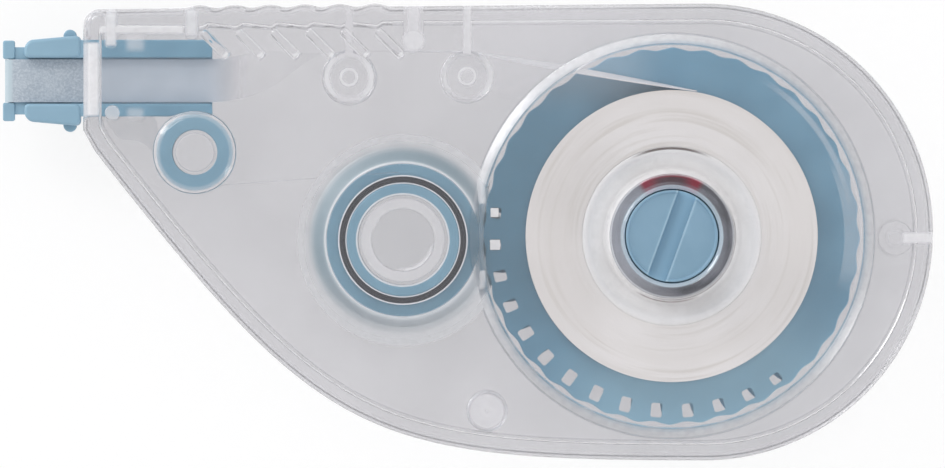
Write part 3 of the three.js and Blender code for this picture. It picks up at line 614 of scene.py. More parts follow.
def wavy_flange(radius, low, high):
    """The supply gear's flange. Its rim swells a little over each tooth."""
    outline = []
    for turn in full_turn(SUPPLY_TEETH * 10, WINDOW_MIDDLE):
        swell = 0.13 * (1 + math.cos(SUPPLY_TEETH * (turn - WINDOW_MIDDLE)))
        outline.append(polar(SUPPLY, radius + swell, turn))
    return slab("flange", outline, low, high)


def build_supply_gear(looks):
    """The large gear, its flange with see-through windows, and the stub that drives the roll."""
    pitch, root = gear_radii(SUPPLY_TEETH)
    rim = pitch + 0.7
    bore = SUPPLY_POST + RUN
    top = FLANGE_FOOT + FLANGE_THICK
    gear = gear_wheel(SUPPLY_TEETH, WINDOW_MIDDLE, GEAR_FOOT, FLANGE_FOOT + 0.1, SUPPLY, root - 2.6)
    flange = cut(wavy_flange(rim, FLANGE_FOOT, top), [disc("bore", bore, GEAR_FOOT, top + 1, SUPPLY)])
    core = tube("stub", bore, CLUTCH_STUB, FACE_WALL + RUN, top + 2.0, SUPPLY, 0.15, 96)
    joined(gear, [flange, core])
    cut(gear, flange_windows(rim, FLANGE_FOOT - 0.15, top + 1))
    gear.name = "supply_gear_wheel"
    return piece(gear, "supply_drive", "supply_gear", looks)


def build_takeup_reel(looks):
    """The small gear, turned so that its teeth mesh with the large one, and the core for the used film."""
    bore = TAKEUP_POST + RUN
    root = gear_radii(TAKEUP_TEETH)[1]
    line = math.atan2(SUPPLY.y - TAKEUP.y, SUPPLY.x - TAKEUP.x)
    bearing = line + math.pi
    step = 2 * math.pi / SUPPLY_TEETH
    turn = (bearing - WINDOW_MIDDLE) / step
    nearest = round(turn) * step + WINDOW_MIDDLE
    gap = line - (nearest - bearing) * SUPPLY_TEETH / TAKEUP_TEETH
    top = FLANGE_FOOT - SIDE
    gear = gear_wheel(TAKEUP_TEETH, gap + math.pi / TAKEUP_TEETH, GEAR_FOOT, top, TAKEUP, bore)
    web = tube("web", bore, root - SIDE / 2, top - 0.1, FLANGE_FOOT + FLANGE_THICK, TAKEUP)
    core = tube("core", bore, TAKEUP_CORE, FACE_WALL + RUN, TAPE_HIGH + SIDE / 2, TAKEUP, 0.15)
    joined(gear, [web, core])
    gear.name = "takeup_gear_wheel"
    return piece(gear, "takeup", "takeup_reel", looks)


def build_roller(looks):
    bore = ROLLER_POST + RUN
    low, high = WHEEL_LOW.z, WHEEL_HIGH.z
    corners = [(bore, low), (3.5, low), (3.5, low + 0.35), (3.1, low + 0.35)]
    corners += [(3.1, high - 0.35), (3.5, high - 0.35), (3.5, high), (bore, high)]
    wheel = lathe("guide_wheel", softened(corners, 0.1, closed=True), ROLLER, 128, closed=True)
    return piece(wheel, "roller", "guide_roller", looks)


def build_spool(looks):
    """The white core under the roll: a lip at the hub, a dished web and a rim."""
    bore = HUB_RADIUS + RUN
    outer = ROLL_INNER - RUN
    low, high = SPOOL_LOW.z, SPOOL_HIGH.z
    corners = [(bore, low), (bore + 1.3, low), (bore + 1.5, TAPE_MID - 0.6), (outer - 0.95, TAPE_MID - 0.6)]
    corners += [(outer - 0.9, low), (outer, low), (outer, TAPE_HIGH), (outer - 0.7, TAPE_HIGH)]
    corners += [(outer - 1.3, TAPE_MID + 1.5), (bore + 1.9, TAPE_MID + 1.1)]
    corners += [(bore + 1.2, high), (bore, high)]
    spool = lathe("spool_core", softened(corners, 0.3, 5, closed=True), SUPPLY, 160, closed=True)
    return piece(spool, "supply_reel", "tape_spool", looks)


def build_roll(looks):
    roll = tube("fresh_roll", ROLL_INNER - RUN - 0.05, ROLL_OUTER, TAPE_LOW, TAPE_HIGH, SUPPLY, 0.05, 192)
    return piece(roll, "supply_reel", "tape_roll", looks)


def build_used_roll(looks):
    roll = tube("used_roll", TAKEUP_CORE + 0.01, FILM_OUTER, TAPE_LOW, TAPE_HIGH, TAKEUP, 0.05, 160)
    return piece(roll, "takeup", "used_film_roll", looks)


def build_clutch(looks):
    section = (CLUTCH_HIGH.z - CLUTCH_LOW.z) / 2
    middle = (CLUTCH_HIGH.x - CLUTCH_LOW.x) / 2 - section
    height = (CLUTCH_HIGH.z + CLUTCH_LOW.z) / 2
    profile = [polar((middle, height), section, t) for t in full_turn(20)]
    ring = lathe("slip_ring", profile, SUPPLY, 96, closed=True)
    return piece(ring, "supply_reel", "clutch_ring", looks)


def build_hub(looks):
    """The rewinding hub: a cap with a raised rim, and a coin slot right across it."""
    radius = HUB_RADIUS
    top = HUB_HIGH.z
    cap_low = top - HUB_CAP
    cap = [(radius / 2, cap_low), (radius, cap_low), (radius, top), (radius - 0.22, top)]
    cap += [(radius - 0.3, top - 0.22), (radius / 2, top - 0.16)]
    hub = lathe("coin_hub", softened(cap, 0.09), SUPPLY, 128)
    low = top - SLOT_DEPTH
    cut(hub, [bar("slot", SUPPLY.xy, 4 * radius, SLOT_WIDTH, SLOT_ANGLE, low, top + 1, 0.1, 0.06)])
    ease = hub.modifiers.new("eased edges", "BEVEL")
    ease.width = 0.07 * MM
    ease.segments = 2
    ease.limit_method = "ANGLE"
    ease.angle_limit = math.radians(50)
    settle(hub)
    joined(hub, [tube("stem", SUPPLY_POST + RUN, radius, HUB_LOW.z, cap_low + SIDE, SUPPLY, 0.1)])
    return piece(hub, "supply_reel", "rewind_hub", looks)


def blade():
    """The flat middle of the head, with a rounded tip that the tape turns round."""
    half = BLADE_THICK / 2
    nose = arc(BLADE_TIP_X, 0, BLADE_TIP_RADIUS, math.pi / 2, 1.5 * math.pi, 12)
    outline = [Vector((BLADE_END_X, half)), Vector((ARM_START_X, half))] + nose
    outline += [Vector((ARM_START_X, -half)), Vector((BLADE_END_X, -half))]
    raised = [Vector((p.x, p.y + TAPE_MID)) for p in outline]
    levels = eased_levels(HEAD_Y + HEAD_NECK_HALF, HEAD_Y - HEAD_NECK_HALF, 0.08, 0.08, 3)
    return stack("blade", [[(p.x, y, p.y) for p in inset(raised, wall)] for wall, y in levels])


def head_arm(side):
    """One side of the head: its arm, rail, bump and the lug at the tip."""
    def at(x, away):
        return Vector((x, HEAD_Y + side * away))

    def turned(points):
        return points if side < 0 else points[::-1]

    arm = [at(ARM_START_X, CHANNEL_HALF), at(ARM_START_X, ARM_TIP_HALF - 0.6)]
    arm += [at(ARM_START_X + 0.5, ARM_TIP_HALF), at(ARM_END_X, ARM_ROOT_HALF), at(ARM_END_X, CHANNEL_HALF)]
    edge = RAIL_UPPER if side > 0 else RAIL_LOWER
    rail = [at(ARM_END_X - 1, CHANNEL_HALF), at(ARM_END_X - 1, edge), at(RAIL_END_X, edge)]
    rail.append(at(RAIL_END_X, CHANNEL_HALF))
    lug = [at(HEAD_TIP_X, CHANNEL_HALF - 0.12), at(HEAD_TIP_X, HEAD_TIP_HALF)]
    lug += [at(HEAD_TIP_X + HEAD_TIP_LENGTH, half) for half in (HEAD_TIP_HALF, CHANNEL_HALF - 0.12)]
    slope = (ARM_ROOT_HALF - ARM_TIP_HALF) / (ARM_END_X - ARM_START_X)
    bump = at(BUMP_X, ARM_TIP_HALF + slope * (BUMP_X - ARM_START_X))
    order = [turned(points) for points in (arm, rail, lug)]
    half = BLADE_THICK / 2
    made = [slab("arm", softened(order[0], 0.62, 6, closed=True), HEAD_LOW.z, HEAD_HIGH.z, 0.3, steps=6)]
    rail = softened(order[1], 0.32, 6, closed=True)
    made.append(slab("rail", rail, TAPE_MID, TAPE_MID + RAIL_HEIGHT, 0.15))
    ledge = sorted(HEAD_Y + side * (CHANNEL_HALF + away) for away in (-0.4, 0.2))
    made.append(block("ledge", ARM_END_X - 1, RAIL_END_X, *ledge, TAPE_MID, TAPE_MID + 0.62))
    made.append(slab("lug", softened(order[2], 0.24, closed=True), TAPE_MID - half, TAPE_MID + half, 0.12))
    made.append(disc("bump", BUMP_RADIUS, TAPE_MID - 1, TAPE_MID + 1, bump, 0.12, 40))
    return made


def build_head(looks):
    head = blade()
    joined(head, head_arm(1) + head_arm(-1))
    head.name = "applicator_head"
    return piece(head, "root", "tape_head", looks)


def refined(path, longest):
    made = [path[0]]
    for here in path[1:]:
        last = made[-1]
        count = max(1, math.ceil((here - last).length / longest))
        made += [last.lerp(here, (k + 1) / count) for k in range(count)]
    return made


def smooth(value):
    value = min(1.0, max(0.0, value))
    return value * value * (3 - 2 * value)


def band(name, path, twist):
    """A thin band along a path. The twist is 0 on edge and a quarter turn where it lies flat."""
    rings = []
    for i, here in enumerate(path):
        along = (path[min(i + 1, len(path) - 1)] - path[max(i - 1, 0)]).normalized()
        level = Vector((0, 0, 1)).cross(along).normalized()
        upright = along.cross(level)
        angle = twist(here)
        width = upright * math.cos(angle) + level * math.sin(angle)
        out = along.cross(width)
        ring = []
        for w, t in [(-1, -1), (0, -1), (1, -1), (1, 1), (0, 1), (-1, 1)]:
            ring.append(here + width * w * TAPE_WIDTH / 2 + out * t * TAPE_THICK / 2)
        rings.append(ring)
    return stack(name, rings)


def tangent_point(centre, radius, start, side):
    """Where a straight run from start meets a round, on one side of it."""
    away = start - Vector((centre.x, centre.y, start.z))
    angle = math.atan2(away.y, away.x) + side * math.acos(radius / math.hypot(away.x, away.y))
    return Vector((*polar(centre, radius, angle), TAPE_MID))


def tip_turn(start, end):
    radius = BLADE_TIP_RADIUS + TAPE_GAP
    made = []
    for k in range(9):
        angle = start + (end - start) * k / 8
        x = BLADE_TIP_X - radius * math.sin(angle)
        made.append(Vector((x, HEAD_Y, TAPE_MID + radius * math.cos(angle))))
    return made


ABOVE = BLADE_THICK / 2 + TAPE_GAP


def build_fresh_tape(looks):
    """The tape from the roll, past the bosses and along the front of the blade to its tip."""
    over = Vector((BOSSES[0][0], GUIDE_Y, TAPE_MID))
    leaves = tangent_point(SUPPLY, ROLL_OUTER + TAPE_THICK, over, -1)
    stands = Vector((BOSSES[1][0] - BOSSES[1][2], GUIDE_Y, TAPE_MID))
    enters = Vector((RAIL_END_X + 1.5, HEAD_Y, TAPE_MID + ABOVE))
    turn = tip_turn(0, math.pi / 2 - 0.02)
    path = [leaves, over, stands, enters, Vector((ARM_START_X, HEAD_Y, TAPE_MID + ABOVE)), turn[0]]
    path = refined(softened(path, 2, 8), 0.4) + turn[1:]

    def twist(here):
        flat = smooth((here.x - stands.x) / (enters.x - stands.x)) * math.pi / 2
        free = (here.x - over.x) / (leaves.x - over.x)
        lean = math.radians(7) * math.sin(math.pi * min(1.0, max(0.0, free)))
        return lean - flat

    tape = band("fresh_tape_band", path, twist)
    return piece(tape, "root", "fresh_tape_run", looks, sharp=50)


def build_used_film(looks):
    """The emptied film from the tip, under the blade and round the roller to the take-up core."""
    wrap = (WHEEL_HIGH.x - WHEEL_LOW.x) / 2 - 0.4 + TAPE_GAP
    roll = FILM_OUTER + RUN
    leaves_blade = Vector((BLADE_END_X + SIDE, HEAD_Y, TAPE_MID - ABOVE))
    under_rail = Vector((BLADE_END_X + 2.7, HEAD_Y - RAIL_LOWER, TAPE_LOW + SIDE))
    meets = tangent_point(ROLLER, wrap, under_rail, 1)
    run = (under_rail - meets).length
    steady = meets.lerp(under_rail, (TAPE_WIDTH / 2 + SIDE) / run)
    steady.z = TAPE_MID
    bearing = math.atan2(TAKEUP.y - ROLLER.y, TAKEUP.x - ROLLER.x)
    span = math.hypot(TAKEUP.y - ROLLER.y, TAKEUP.x - ROLLER.x)
    heading = bearing + math.asin((wrap + roll) / span)
    first = math.atan2(meets.y - ROLLER.y, meets.x - ROLLER.x) + 2 * math.pi
    turns = [first + (heading + 1.5 * math.pi - first) * k / 24 for k in range(25)]
    round_wheel = [Vector((*polar(ROLLER, wrap, t), TAPE_MID)) for t in turns[1:]]
    arrives = Vector((TAKEUP.x - roll * math.sin(heading), TAKEUP.y + roll * math.cos(heading), TAPE_MID))
    start = tip_turn(math.pi / 2 + 0.02, math.pi)
    path = [start[-1], Vector((ARM_START_X, HEAD_Y, TAPE_MID - ABOVE)), leaves_blade]
    path += [under_rail, steady, meets]
    path = refined(softened(path, 1.4, 8), 0.3)
    path = start[:-1] + path + round_wheel + [arrives]

    def twist(here):
        return -smooth((here.y - steady.y) / (under_rail.y - 0.2 - steady.y)) * math.pi / 2

    film = band("used_film_band", path, twist)
    return piece(film, "root", "used_film_run", looks, sharp=50)


class Value:
    """A node's output. Arithmetic on it adds nodes, and | gives the larger of two values."""

    def __init__(self, tree, socket):
        self.tree = tree
        self.socket = socket

    def math(self, operation, *others):
        made = self.tree.nodes.new("ShaderNodeMath")
        made.operation = operation
        for value, socket in zip(others, made.inputs):
            feed(self.tree, value, socket)
        return Value(self.tree, made.outputs[0])

    def __add__(self, other):
        return self.math("ADD", self, other)

    def __sub__(self, other):
        return self.math("SUBTRACT", self, other)

    def __rsub__(self, other):
        return self.math("SUBTRACT", other, self)

    def __mul__(self, other):
        return self.math("MULTIPLY", self, other)

    def __or__(self, other):
        return self.math("MAXIMUM", self, other)

    def __abs__(self):
        return self.math("ABSOLUTE", self)

    def cosine(self):
        return self.math("COSINE", self)

    def towards(self, degrees):
        """For an angle in radians: 1 where it points at so many degrees, and -1 opposite."""
        return (self - math.radians(degrees)).cosine()

    def ranged(self, low, high, start=0.0, end=1.0):
        """Maps low..high smoothly to start..end."""
        made = self.tree.nodes.new("ShaderNodeMapRange")
        made.interpolation_type = "SMOOTHSTEP"
        for value, socket in zip((self, low, high, start, end), made.inputs):
            feed(self.tree, value, socket)
        return Value(self.tree, made.outputs[0])

    def hill(self, middle, half, soft):
        """1 within half of the middle, falling to 0 over soft."""
        return abs(self - middle).ranged(half, half + soft, 1.0, 0.0)


def feed(tree, source, socket):
    """Links a value to a socket, or sets the socket to a plain number or colour."""
    if isinstance(source, Value):
        tree.links.new(source.socket, socket)
        return
    if isinstance(source, tuple) and len(source) == 3 and len(socket.default_value) == 4:
        source = (*source, 1.0)
    socket.default_value = source


class Nodes:
    """A node tree that is put together a step at a time."""

    def __init__(self, owner):
        owner.use_nodes = True
        self.tree = owner.node_tree

    def node(self, kind, inputs=None, **settings):
        """A new node of a kind, with its settings and its inputs by name or number."""
        made = self.tree.nodes.new("ShaderNode" + kind)
        for name, value in settings.items():
            setattr(made, name, value)
        for name, value in (inputs or {}).items():
            feed(self.tree, value, made.inputs[name])
        return made

    def value(self, kind, inputs=None, output=0, **settings):
        return Value(self.tree, self.node(kind, inputs, **settings).outputs[output])

    def parts(self, place):
        split = self.node("SeparateXYZ", {0: place})
        return [Value(self.tree, socket) for socket in split.outputs]

    def rays(self, *kinds):
        """1 for rays of these kinds."""
        path = self.node("LightPath")
        found = [Value(self.tree, path.outputs[f"Is {kind} Ray"]) for kind in kinds]
        return functools.reduce(Value.__or__, found)

    def show(self, factor, lower, upper, output="Material Output"):
        """Shows the upper shader by a factor, and the lower one otherwise."""
        shown = self.node("MixShader", {0: factor})
        self.tree.links.new(lower.outputs[0], shown.inputs[1])
        self.tree.links.new(upper.outputs[0], shown.inputs[2])
        self.tree.links.new(shown.outputs[0], self.tree.nodes[output].inputs[0])


class Surface(Nodes):
    """A material on the Principled shader. Its patterns lie on the piece, in millimetres."""

    def __init__(self, name):
        self.material = bpy.data.materials.new(name)
        super().__init__(self.material)
        self.shader = self.tree.nodes["Principled BSDF"]
        on_piece = self.value("TexCoord", output="Object")
        self.place = self.value("VectorMath", {0: on_piece, "Scale": 1 / MM}, operation="SCALE")
        self.x, self.y, self.z = self.parts(self.place)

    def vector(self, x, y, z):
        return self.value("CombineXYZ", {0: x, 1: y, 2: z})

    def round_place(self, centre):
        """Radius and angle in radians about a vertical line."""
        aside = self.x - centre[0]
        along = self.y - centre[1]
        squares = aside.math("POWER", aside, 2.0) + along.math("POWER", along, 2.0)
        return squares.math("SQRT", squares), along.math("ARCTAN2", along, aside)

    def noise(self, scale, detail=2.0, place=None, rough=0.5):
        inputs = {"Vector": place or self.place, "Scale": scale, "Detail": detail, "Roughness": rough}
        return self.value("TexNoise", inputs, "Fac")

    def mixed(self, factor, a, b):
        return self.value("Mix", {0: factor, 6: a, 7: b}, 2, data_type="RGBA")

    def tinted(self, pattern, a, b, low=0.3, high=0.7):
        """Two colours by turns, as a noise pattern goes from low to high."""
        return self.mixed(pattern.ranged(low, high), a, b)

    def set(self, **values):
        for name, value in values.items():
            feed(self.tree, value, self.shader.inputs[name.replace("_", " ")])

    def paint(self, mask, colour):
        """Lays a colour over the base colour that is set so far."""
        under = self.shader.inputs["Base Color"].links[0].from_socket
        self.set(Base_Color=self.mixed(mask, Value(self.tree, under), colour))

    def gloss(self, pattern, low, high):
        """Roughness from low to high with a noise pattern."""
        self.set(Roughness=pattern.ranged(0.3, 0.7, low, high))

    def bump(self, height, depth):
        self.set(Normal=self.value("Bump", {"Strength": 1.0, "Distance": depth * MM, "Height": height}))


def pad(made, low, high, soft):
    """1 inside a flat rectangle from low to high, falling to 0 over soft outside it."""
    aside = made.x.hill((low[0] + high[0]) / 2, (high[0] - low[0]) / 2, soft)
    along = made.y.hill((low[1] + high[1]) / 2, (high[1] - low[1]) / 2, soft)
    return aside * along


def slope(made):
    """1 on the fillets and slopes of a moulding, 0 on its flat faces and upright walls."""
    rise = abs(made.parts(made.value("NewGeometry", output="Normal"))[2])
    return rise.ranged(0.8, 0.97, 1.0, 0.0) * rise.ranged(0.05, 0.3)


def front_face(made):
    """1 on the front of the case, 0 on its back."""
    return made.z.ranged(SPLIT_Z + 1, SPLIT_Z + 1.5)


def clear_surface(name, tint, haze, rough=None, shade=None):
    """Polished clear plastic. Light for what lies under it goes straight through, a little dimmed."""
    made = Surface(name)
    darker = tuple(c * 0.97 for c in tint)
    made.set(Base_Color=made.tinted(made.noise(0.11, 3.0), darker, tint, 0.35, 0.65))
    if shade:
        shade(made)
    made.set(Transmission_Weight=1.0 - haze(made), IOR=1.5)
    polish = made.noise(0.35).ranged(0.3, 0.7, 0.03, 0.07)
    made.set(Roughness=polish + rough(made) if rough else polish)
    made.bump(made.noise(0.5), 0.0015)
    open_air = made.node("BsdfTransparent", {0: (0.975, 0.975, 0.98)})
    made.show(made.rays("Shadow", "Diffuse"), made.shader, open_air)
    return made


# Painted highlights on the case, made as hazy rectangles: from, to, softness, strength
HIGHLIGHT_PADS = (
    ((NOSE_X + 0.65, 11.6), (NOSE_X + 1.3, 18.3), 0.4, 0.75),
    ((-35.2, 18.45), (-34.6, 21.2), 0.4, 0.55),
    ((-27.3, 19.5), (-26.7, 21.5), 0.45, 0.4),
    ((-5.7, 19.5), (-4.9, 21.8), 0.4, 0.3),
    ((-0.25, 17.5), (0.2, 22.0), 0.3, 0.3),
    ((-11.8, 17.5), (-11.4, 21.5), 0.3, 0.2),
    ((42.8, -0.85), (45.2, -0.3), 0.4, 0.6),
    ((-35.8, 19.65), (-28.0, 20.0), 0.4, 0.5),
    ((-32.9, 18.2), (-32.1, 18.9), 0.8, 0.25),
    ((-32.9, 11.35), (-32.1, 11.7), 0.7, 0.2),
    ((1.35, 2.9), (1.6, 4.9), 0.25, 0.5),
    ((1.35, -5.4), (1.6, -3.9), 0.25, 0.5),
)
# Painted light on the front face: haze over the gear's windows beside the take-up reel, so that the shaded
# teeth under them look pale
WINDOW_PADS = (((2.3, 1.5), (3.0, 2.3)), ((2.25, -1.7), (3.15, -0.8)))
# Painted highlights on the case, made as hazy rings: centre, radius, half width, softness, strength
HIGHLIGHT_RINGS = (
    (BOSSES[0], 2.3, 0.1, 0.35, 0.4),
    (BOSSES[0], 0.78, 0.06, 0.14, 0.4),
    (BOSSES[1], 2.2, 0.12, 0.35, 0.5),
    (BOSSES[1], 0.78, 0.08, 0.14, 0.4),
    (BOSSES[2], 0.9, 0.5, 0.5, 0.25),
    ((POST_X, 18.75), 0.4, 0.4, 0.5, 0.4),
    (NOSE_PIN[:2], 0.25, 0.35, 0.2, 0.35),
    (TAKEUP, 7.55, 0.05, 0.1, 0.5),
    (TAKEUP, 4.5, 0.04, 0.1, 0.45),
    (TAKEUP, 3.6, 0.35, 0.2, 0.25),
)
GRIP_BAR_FIRST = (GRIP_START_X + GRIP_BAR_ASIDE, top_edge(GRIP_START_X + GRIP_BAR_ASIDE) - GRIP_BAR_DROP)
GRIP_BAR_STEP = GRIP_PITCH / math.sqrt(2)


def bar_edges(made):
    """Painted highlights on the long edges and the lower ends of the six slanted grip bars."""
    aside = made.x - GRIP_BAR_FIRST[0]
    above = made.y - GRIP_BAR_FIRST[1]
    over = (aside + above) * math.sqrt(0.5)
    nearest = over.math("WRAP", over, GRIP_BAR_STEP / 2, -GRIP_BAR_STEP / 2)
    down = (aside - above) * math.sqrt(0.5) - (over - nearest)
    half = GRIP_BAR_LENGTH / 2
    edge = abs(nearest).hill(0.4, 0.03, 0.1) * 0.4
    foot = nearest.hill(0.0, 0.18, 0.2) * down.ranged(half - 0.7, half - 0.3) * 0.65
    span = (GRIP_COUNT - 1) * GRIP_PITCH / 2
    along = aside.hill(span, span + 1.4, 0.1)
    return (edge | foot) * along * down.hill(0.0, half - 0.2, 0.2)


def painted_highlights(made):
    """Painted highlights made as haze on the ribs, bosses, posts, grip bars and round the take-up reel, and
    painted light over two of the gear's windows.
    """
    total = bar_edges(made)
    # painted highlights over ribs, posts, bosses and the nose wall, made as haze
    for low, high, soft, strength in HIGHLIGHT_PADS:
        total |= pad(made, low, high, soft) * strength
    # painted light over two of the gear's windows
    for low, high in WINDOW_PADS:
        total |= pad(made, low, high, 0.08) * front_face(made) * 0.6
    outside = made.round_place(SUPPLY)[0].ranged(19.3, 19.6)
    for centre, size, half, soft, strength in HIGHLIGHT_RINGS:
        away, around = made.round_place(centre)
        mask = away.hill(size, half, soft) * strength
        if centre in BOSSES and size > 2:
            mask *= abs(around.cosine()).ranged(0.3, 0.95, 0.4, 1.0)
        if centre == TAKEUP:
            mask *= outside
        total |= mask
    return total


def supply_haze(made):
    """Haze over the supply reel's slope, and painted highlights made as haze: a line at the slope's foot,
    brightest on its lit upper left, two light bands over the flange and a gleam over the spool.
    """
    radius, angle = made.round_place(SUPPLY)
    from_takeup = made.round_place(TAKEUP)[0]
    total = slope(made) * (radius.hill(19.3, 0.35, 0.15) * 0.33 + 0.2)
    total *= 1.0 - from_takeup.hill(8.4, 1.0, 0.4)
    # painted highlights: a line at the slope's foot on the lit side, two light bands and a gleam over the
    # spool
    lit = angle.towards(128).ranged(0.1, 0.9) * 0.45
    total |= radius.hill(19.62, 0.04, 0.12) * lit * from_takeup.ranged(7.6, 8.4)
    total |= radius.hill(17.6, 0.15, 0.25) * angle.towards(30).ranged(0.85, 0.97, 0.0, 0.14)
    total |= radius.hill(17.75, 0.8, 0.2) * angle.towards(4).ranged(0.92, 0.985, 0.0, 0.1)
    return total | abs(angle.towards(-18)).ranged(0.8, 0.98) * radius.hill(7.4, 0.9, 0.5) * 0.12


def takeup_haze(made):
    """Haze over the take-up reel: two rings round it on the front face, and a painted crescent highlight
    over its post.
    """
    away, around = made.round_place(TAKEUP)
    shown = around.towards(125)
    near = away.hill(8.15, 0.5, 0.2) * shown.ranged(-0.6, 0.7, 0.4, 0.55)
    far = away.hill(9.4, 0.8, 0.25) * shown.ranged(-0.6, 0.9, 0.75, 0.35)
    beside = made.round_place(SUPPLY)[0].ranged(19.5, 19.8)
    # painted crescent highlight over the post
    crescent = away.hill(2.9, 0.05, 0.2) * around.towards(-55).ranged(0.6, 0.95) * 0.35
    return (near | far) * beside * front_face(made) | crescent


def case_haze(made):
    """How much the case scatters: a little all over, more on fillets and slopes, and in the painted
    highlights made as haze on moulded ribs, bosses and round the reels.
    """
    total = supply_haze(made) | painted_highlights(made) | takeup_haze(made)
    total *= made.noise(1.2).ranged(0.3, 0.7, 0.85, 1.0)
    patch = pad(made, (3.0, 17.0), (14.0, 20.5), 6.0)
    return total + patch * 0.08 + 0.03


def case_shade(made):
    """Painted shade on the front face: grey where haze would be too pale, least on the lit upper left, and a
    bluish painted shade close round the take-up, over its blurred teeth.
    """
    radius, angle = made.round_place(SUPPLY)
    away, around = made.round_place(TAKEUP)
    shown = around.towards(125)
    beside = radius.ranged(19.5, 19.8)
    ring = away.hill(9.1, 1.1, 0.25) * beside * shown.ranged(-0.6, 0.9, 0.95, 0.5)
    # painted shade round the supply slope, least on the lit upper left
    rim = radius.hill(19.35, 0.45, 0.2) * angle.towards(128).ranged(0.1, 0.9, 0.9, 0.45)
    made.paint((ring | rim) * front_face(made), (0.6, 0.605, 0.625))
    # painted bluish shade over the take-up's blurred teeth
    near = away.ranged(7.6, 7.8) * away.ranged(8.35, 9.45, 1.0, 0.0) * beside
    near *= shown.ranged(-0.8, 0.5, 0.3, 0.95)
    made.paint(near * front_face(made), (0.3, 0.375, 0.42))


def case_rough(made):
    """The slopes over the gears are satin, so the teeth under them are blurred."""
    from_supply = made.round_place(SUPPLY)[0]
    from_takeup = made.round_place(TAKEUP)[0]
    total = from_takeup.hill(8.6, 0.8, 0.7) * 0.33 * from_supply.ranged(18.3, 18.6)
    total |= from_supply.hill(19.2, 0.5, 0.1) * 0.2
    total |= slope(made) * 0.1
    total |= pad(made, (39.5, -3.0), (44.0, 1.8), 0.8) * 0.08
    return total | pad(made, (-35.5, 12.0), (-26.0, 19.0), 1.2) * 0.07


def collar_looks():
    """The collar's clear plastic is thick. Its colour is painted dark and smoky for the dark reflection it
    shows, paler to the left, with a painted dark red reflection on its grip side, a painted pale reflection
    at its inner edge and a thin painted white highlight.
    """
    made = clear_surface("collar", (0.42, 0.42, 0.46), lambda made: slope(made) * 0.6)
    radius, angle = made.round_place(SUPPLY)
    tone = made.noise(1.1, 3.0, made.vector(angle.cosine(), angle.math("SINE", angle), radius))
    # painted reflection: a dark smoky tone
    made.set(Base_Color=made.tinted(tone, (0.12, 0.12, 0.135), (0.3, 0.3, 0.33)))
    # painted light: paler to the left
    made.paint(angle.cosine().ranged(-1.0, 0.3, 1.0, 0.0) * 0.55, (0.52, 0.53, 0.58))
    # painted dark red reflection on the grip side
    aside = abs(angle - math.radians(91))
    red_reflection = aside.ranged(math.radians(27), math.radians(34), 1.0, 0.0) * radius.ranged(5.15, 5.4)
    strong = aside.ranged(math.radians(8), math.radians(26)) | radius.ranged(5.68, 5.9)
    made.paint(red_reflection * 0.9, made.mixed(strong, (0.1, 0.05, 0.06), (0.3, 0.025, 0.05)))
    # painted pale reflection at the inner edge
    made.paint(radius.ranged(5.0, 5.12, 1.0, 0.0), (0.5, 0.6, 0.68))
    # painted white highlight line
    made.paint(radius.hill(5.98, 0.04, 0.05), (0.95, 0.95, 0.97))
    return made


def moulded(name, colour, deep):
    """Satin moulded plastic with a faint flow pattern and fine grain."""
    made = Surface(name)
    made.set(Base_Color=made.tinted(made.noise(0.22, 3.0), deep, colour))
    made.gloss(made.noise(1.3, 3.0), 0.33, 0.45)
    made.set(Subsurface_Weight=0.12, Subsurface_Scale=0.001, IOR=1.49)
    made.set(Subsurface_Radius=(0.7, 0.9, 1.0))
    made.bump(made.noise(6.0, 3.0), 0.004)
    return made


def head_looks():
    """Pale blue plastic, with painted shade: darker where the rails lie inside the case."""
    made = moulded("head blue", (0.27, 0.43, 0.54), (0.25, 0.4, 0.51))
    # painted shade on the rails inside the case
    inside = made.tinted(made.noise(0.3), (0.13, 0.32, 0.45), (0.175, 0.39, 0.53))
    made.paint(made.x.ranged(NOSE_X - 0.2, NOSE_X + 1.5), inside)
    return made


def knob_looks():
    """The hub's blue, with painted highlights along the coin slot's edges and painted light on the slot's
    floor.
    """
    made = moulded("hub blue", (0.22, 0.36, 0.475), (0.2, 0.335, 0.445))
    aside = (made.x - SUPPLY.x) * math.sin(SLOT_ANGLE)
    over = abs(aside - (made.y - SUPPLY.y) * math.cos(SLOT_ANGLE))
    # painted highlights along the slot's edges
    made.paint(over.hill(SLOT_WIDTH / 2 + 0.08, 0.04, 0.12) * 0.3, (0.5, 0.68, 0.78))
    # painted light on the slot's floor
    floor = made.z.ranged(HUB_HIGH.z - SLOT_DEPTH + 0.1, HUB_HIGH.z - 0.5, 1.0, 0.0)
    made.paint(floor, (0.26, 0.44, 0.58))
    return made


def takeup_looks(name, with_teeth):
    """The blue of the take-up reel and the roller, with painted shade on the reel's teeth."""
    made = moulded(name, (0.21, 0.41, 0.53), (0.18, 0.37, 0.49))
    if with_teeth:
        # painted shade on the teeth, deep in the case
        made.paint(made.round_place(TAKEUP)[0].ranged(7.5, 7.7), (0.09, 0.17, 0.22))
    return made


def gear_looks():
    """The supply gear's blue, deeper on the left and paler at the foot, as the light falls in the case."""
    made = moulded("reel blue", (0.15, 0.35, 0.49), (0.12, 0.3, 0.43))
    angle = made.round_place(SUPPLY)[1]
    made.paint(angle.towards(172).ranged(0.6, 0.98, 0.0, 0.75), (0.07, 0.2, 0.29))
    made.paint(angle.towards(-80).ranged(0.5, 0.95, 0.0, 0.75), (0.29, 0.52, 0.65))
    return made


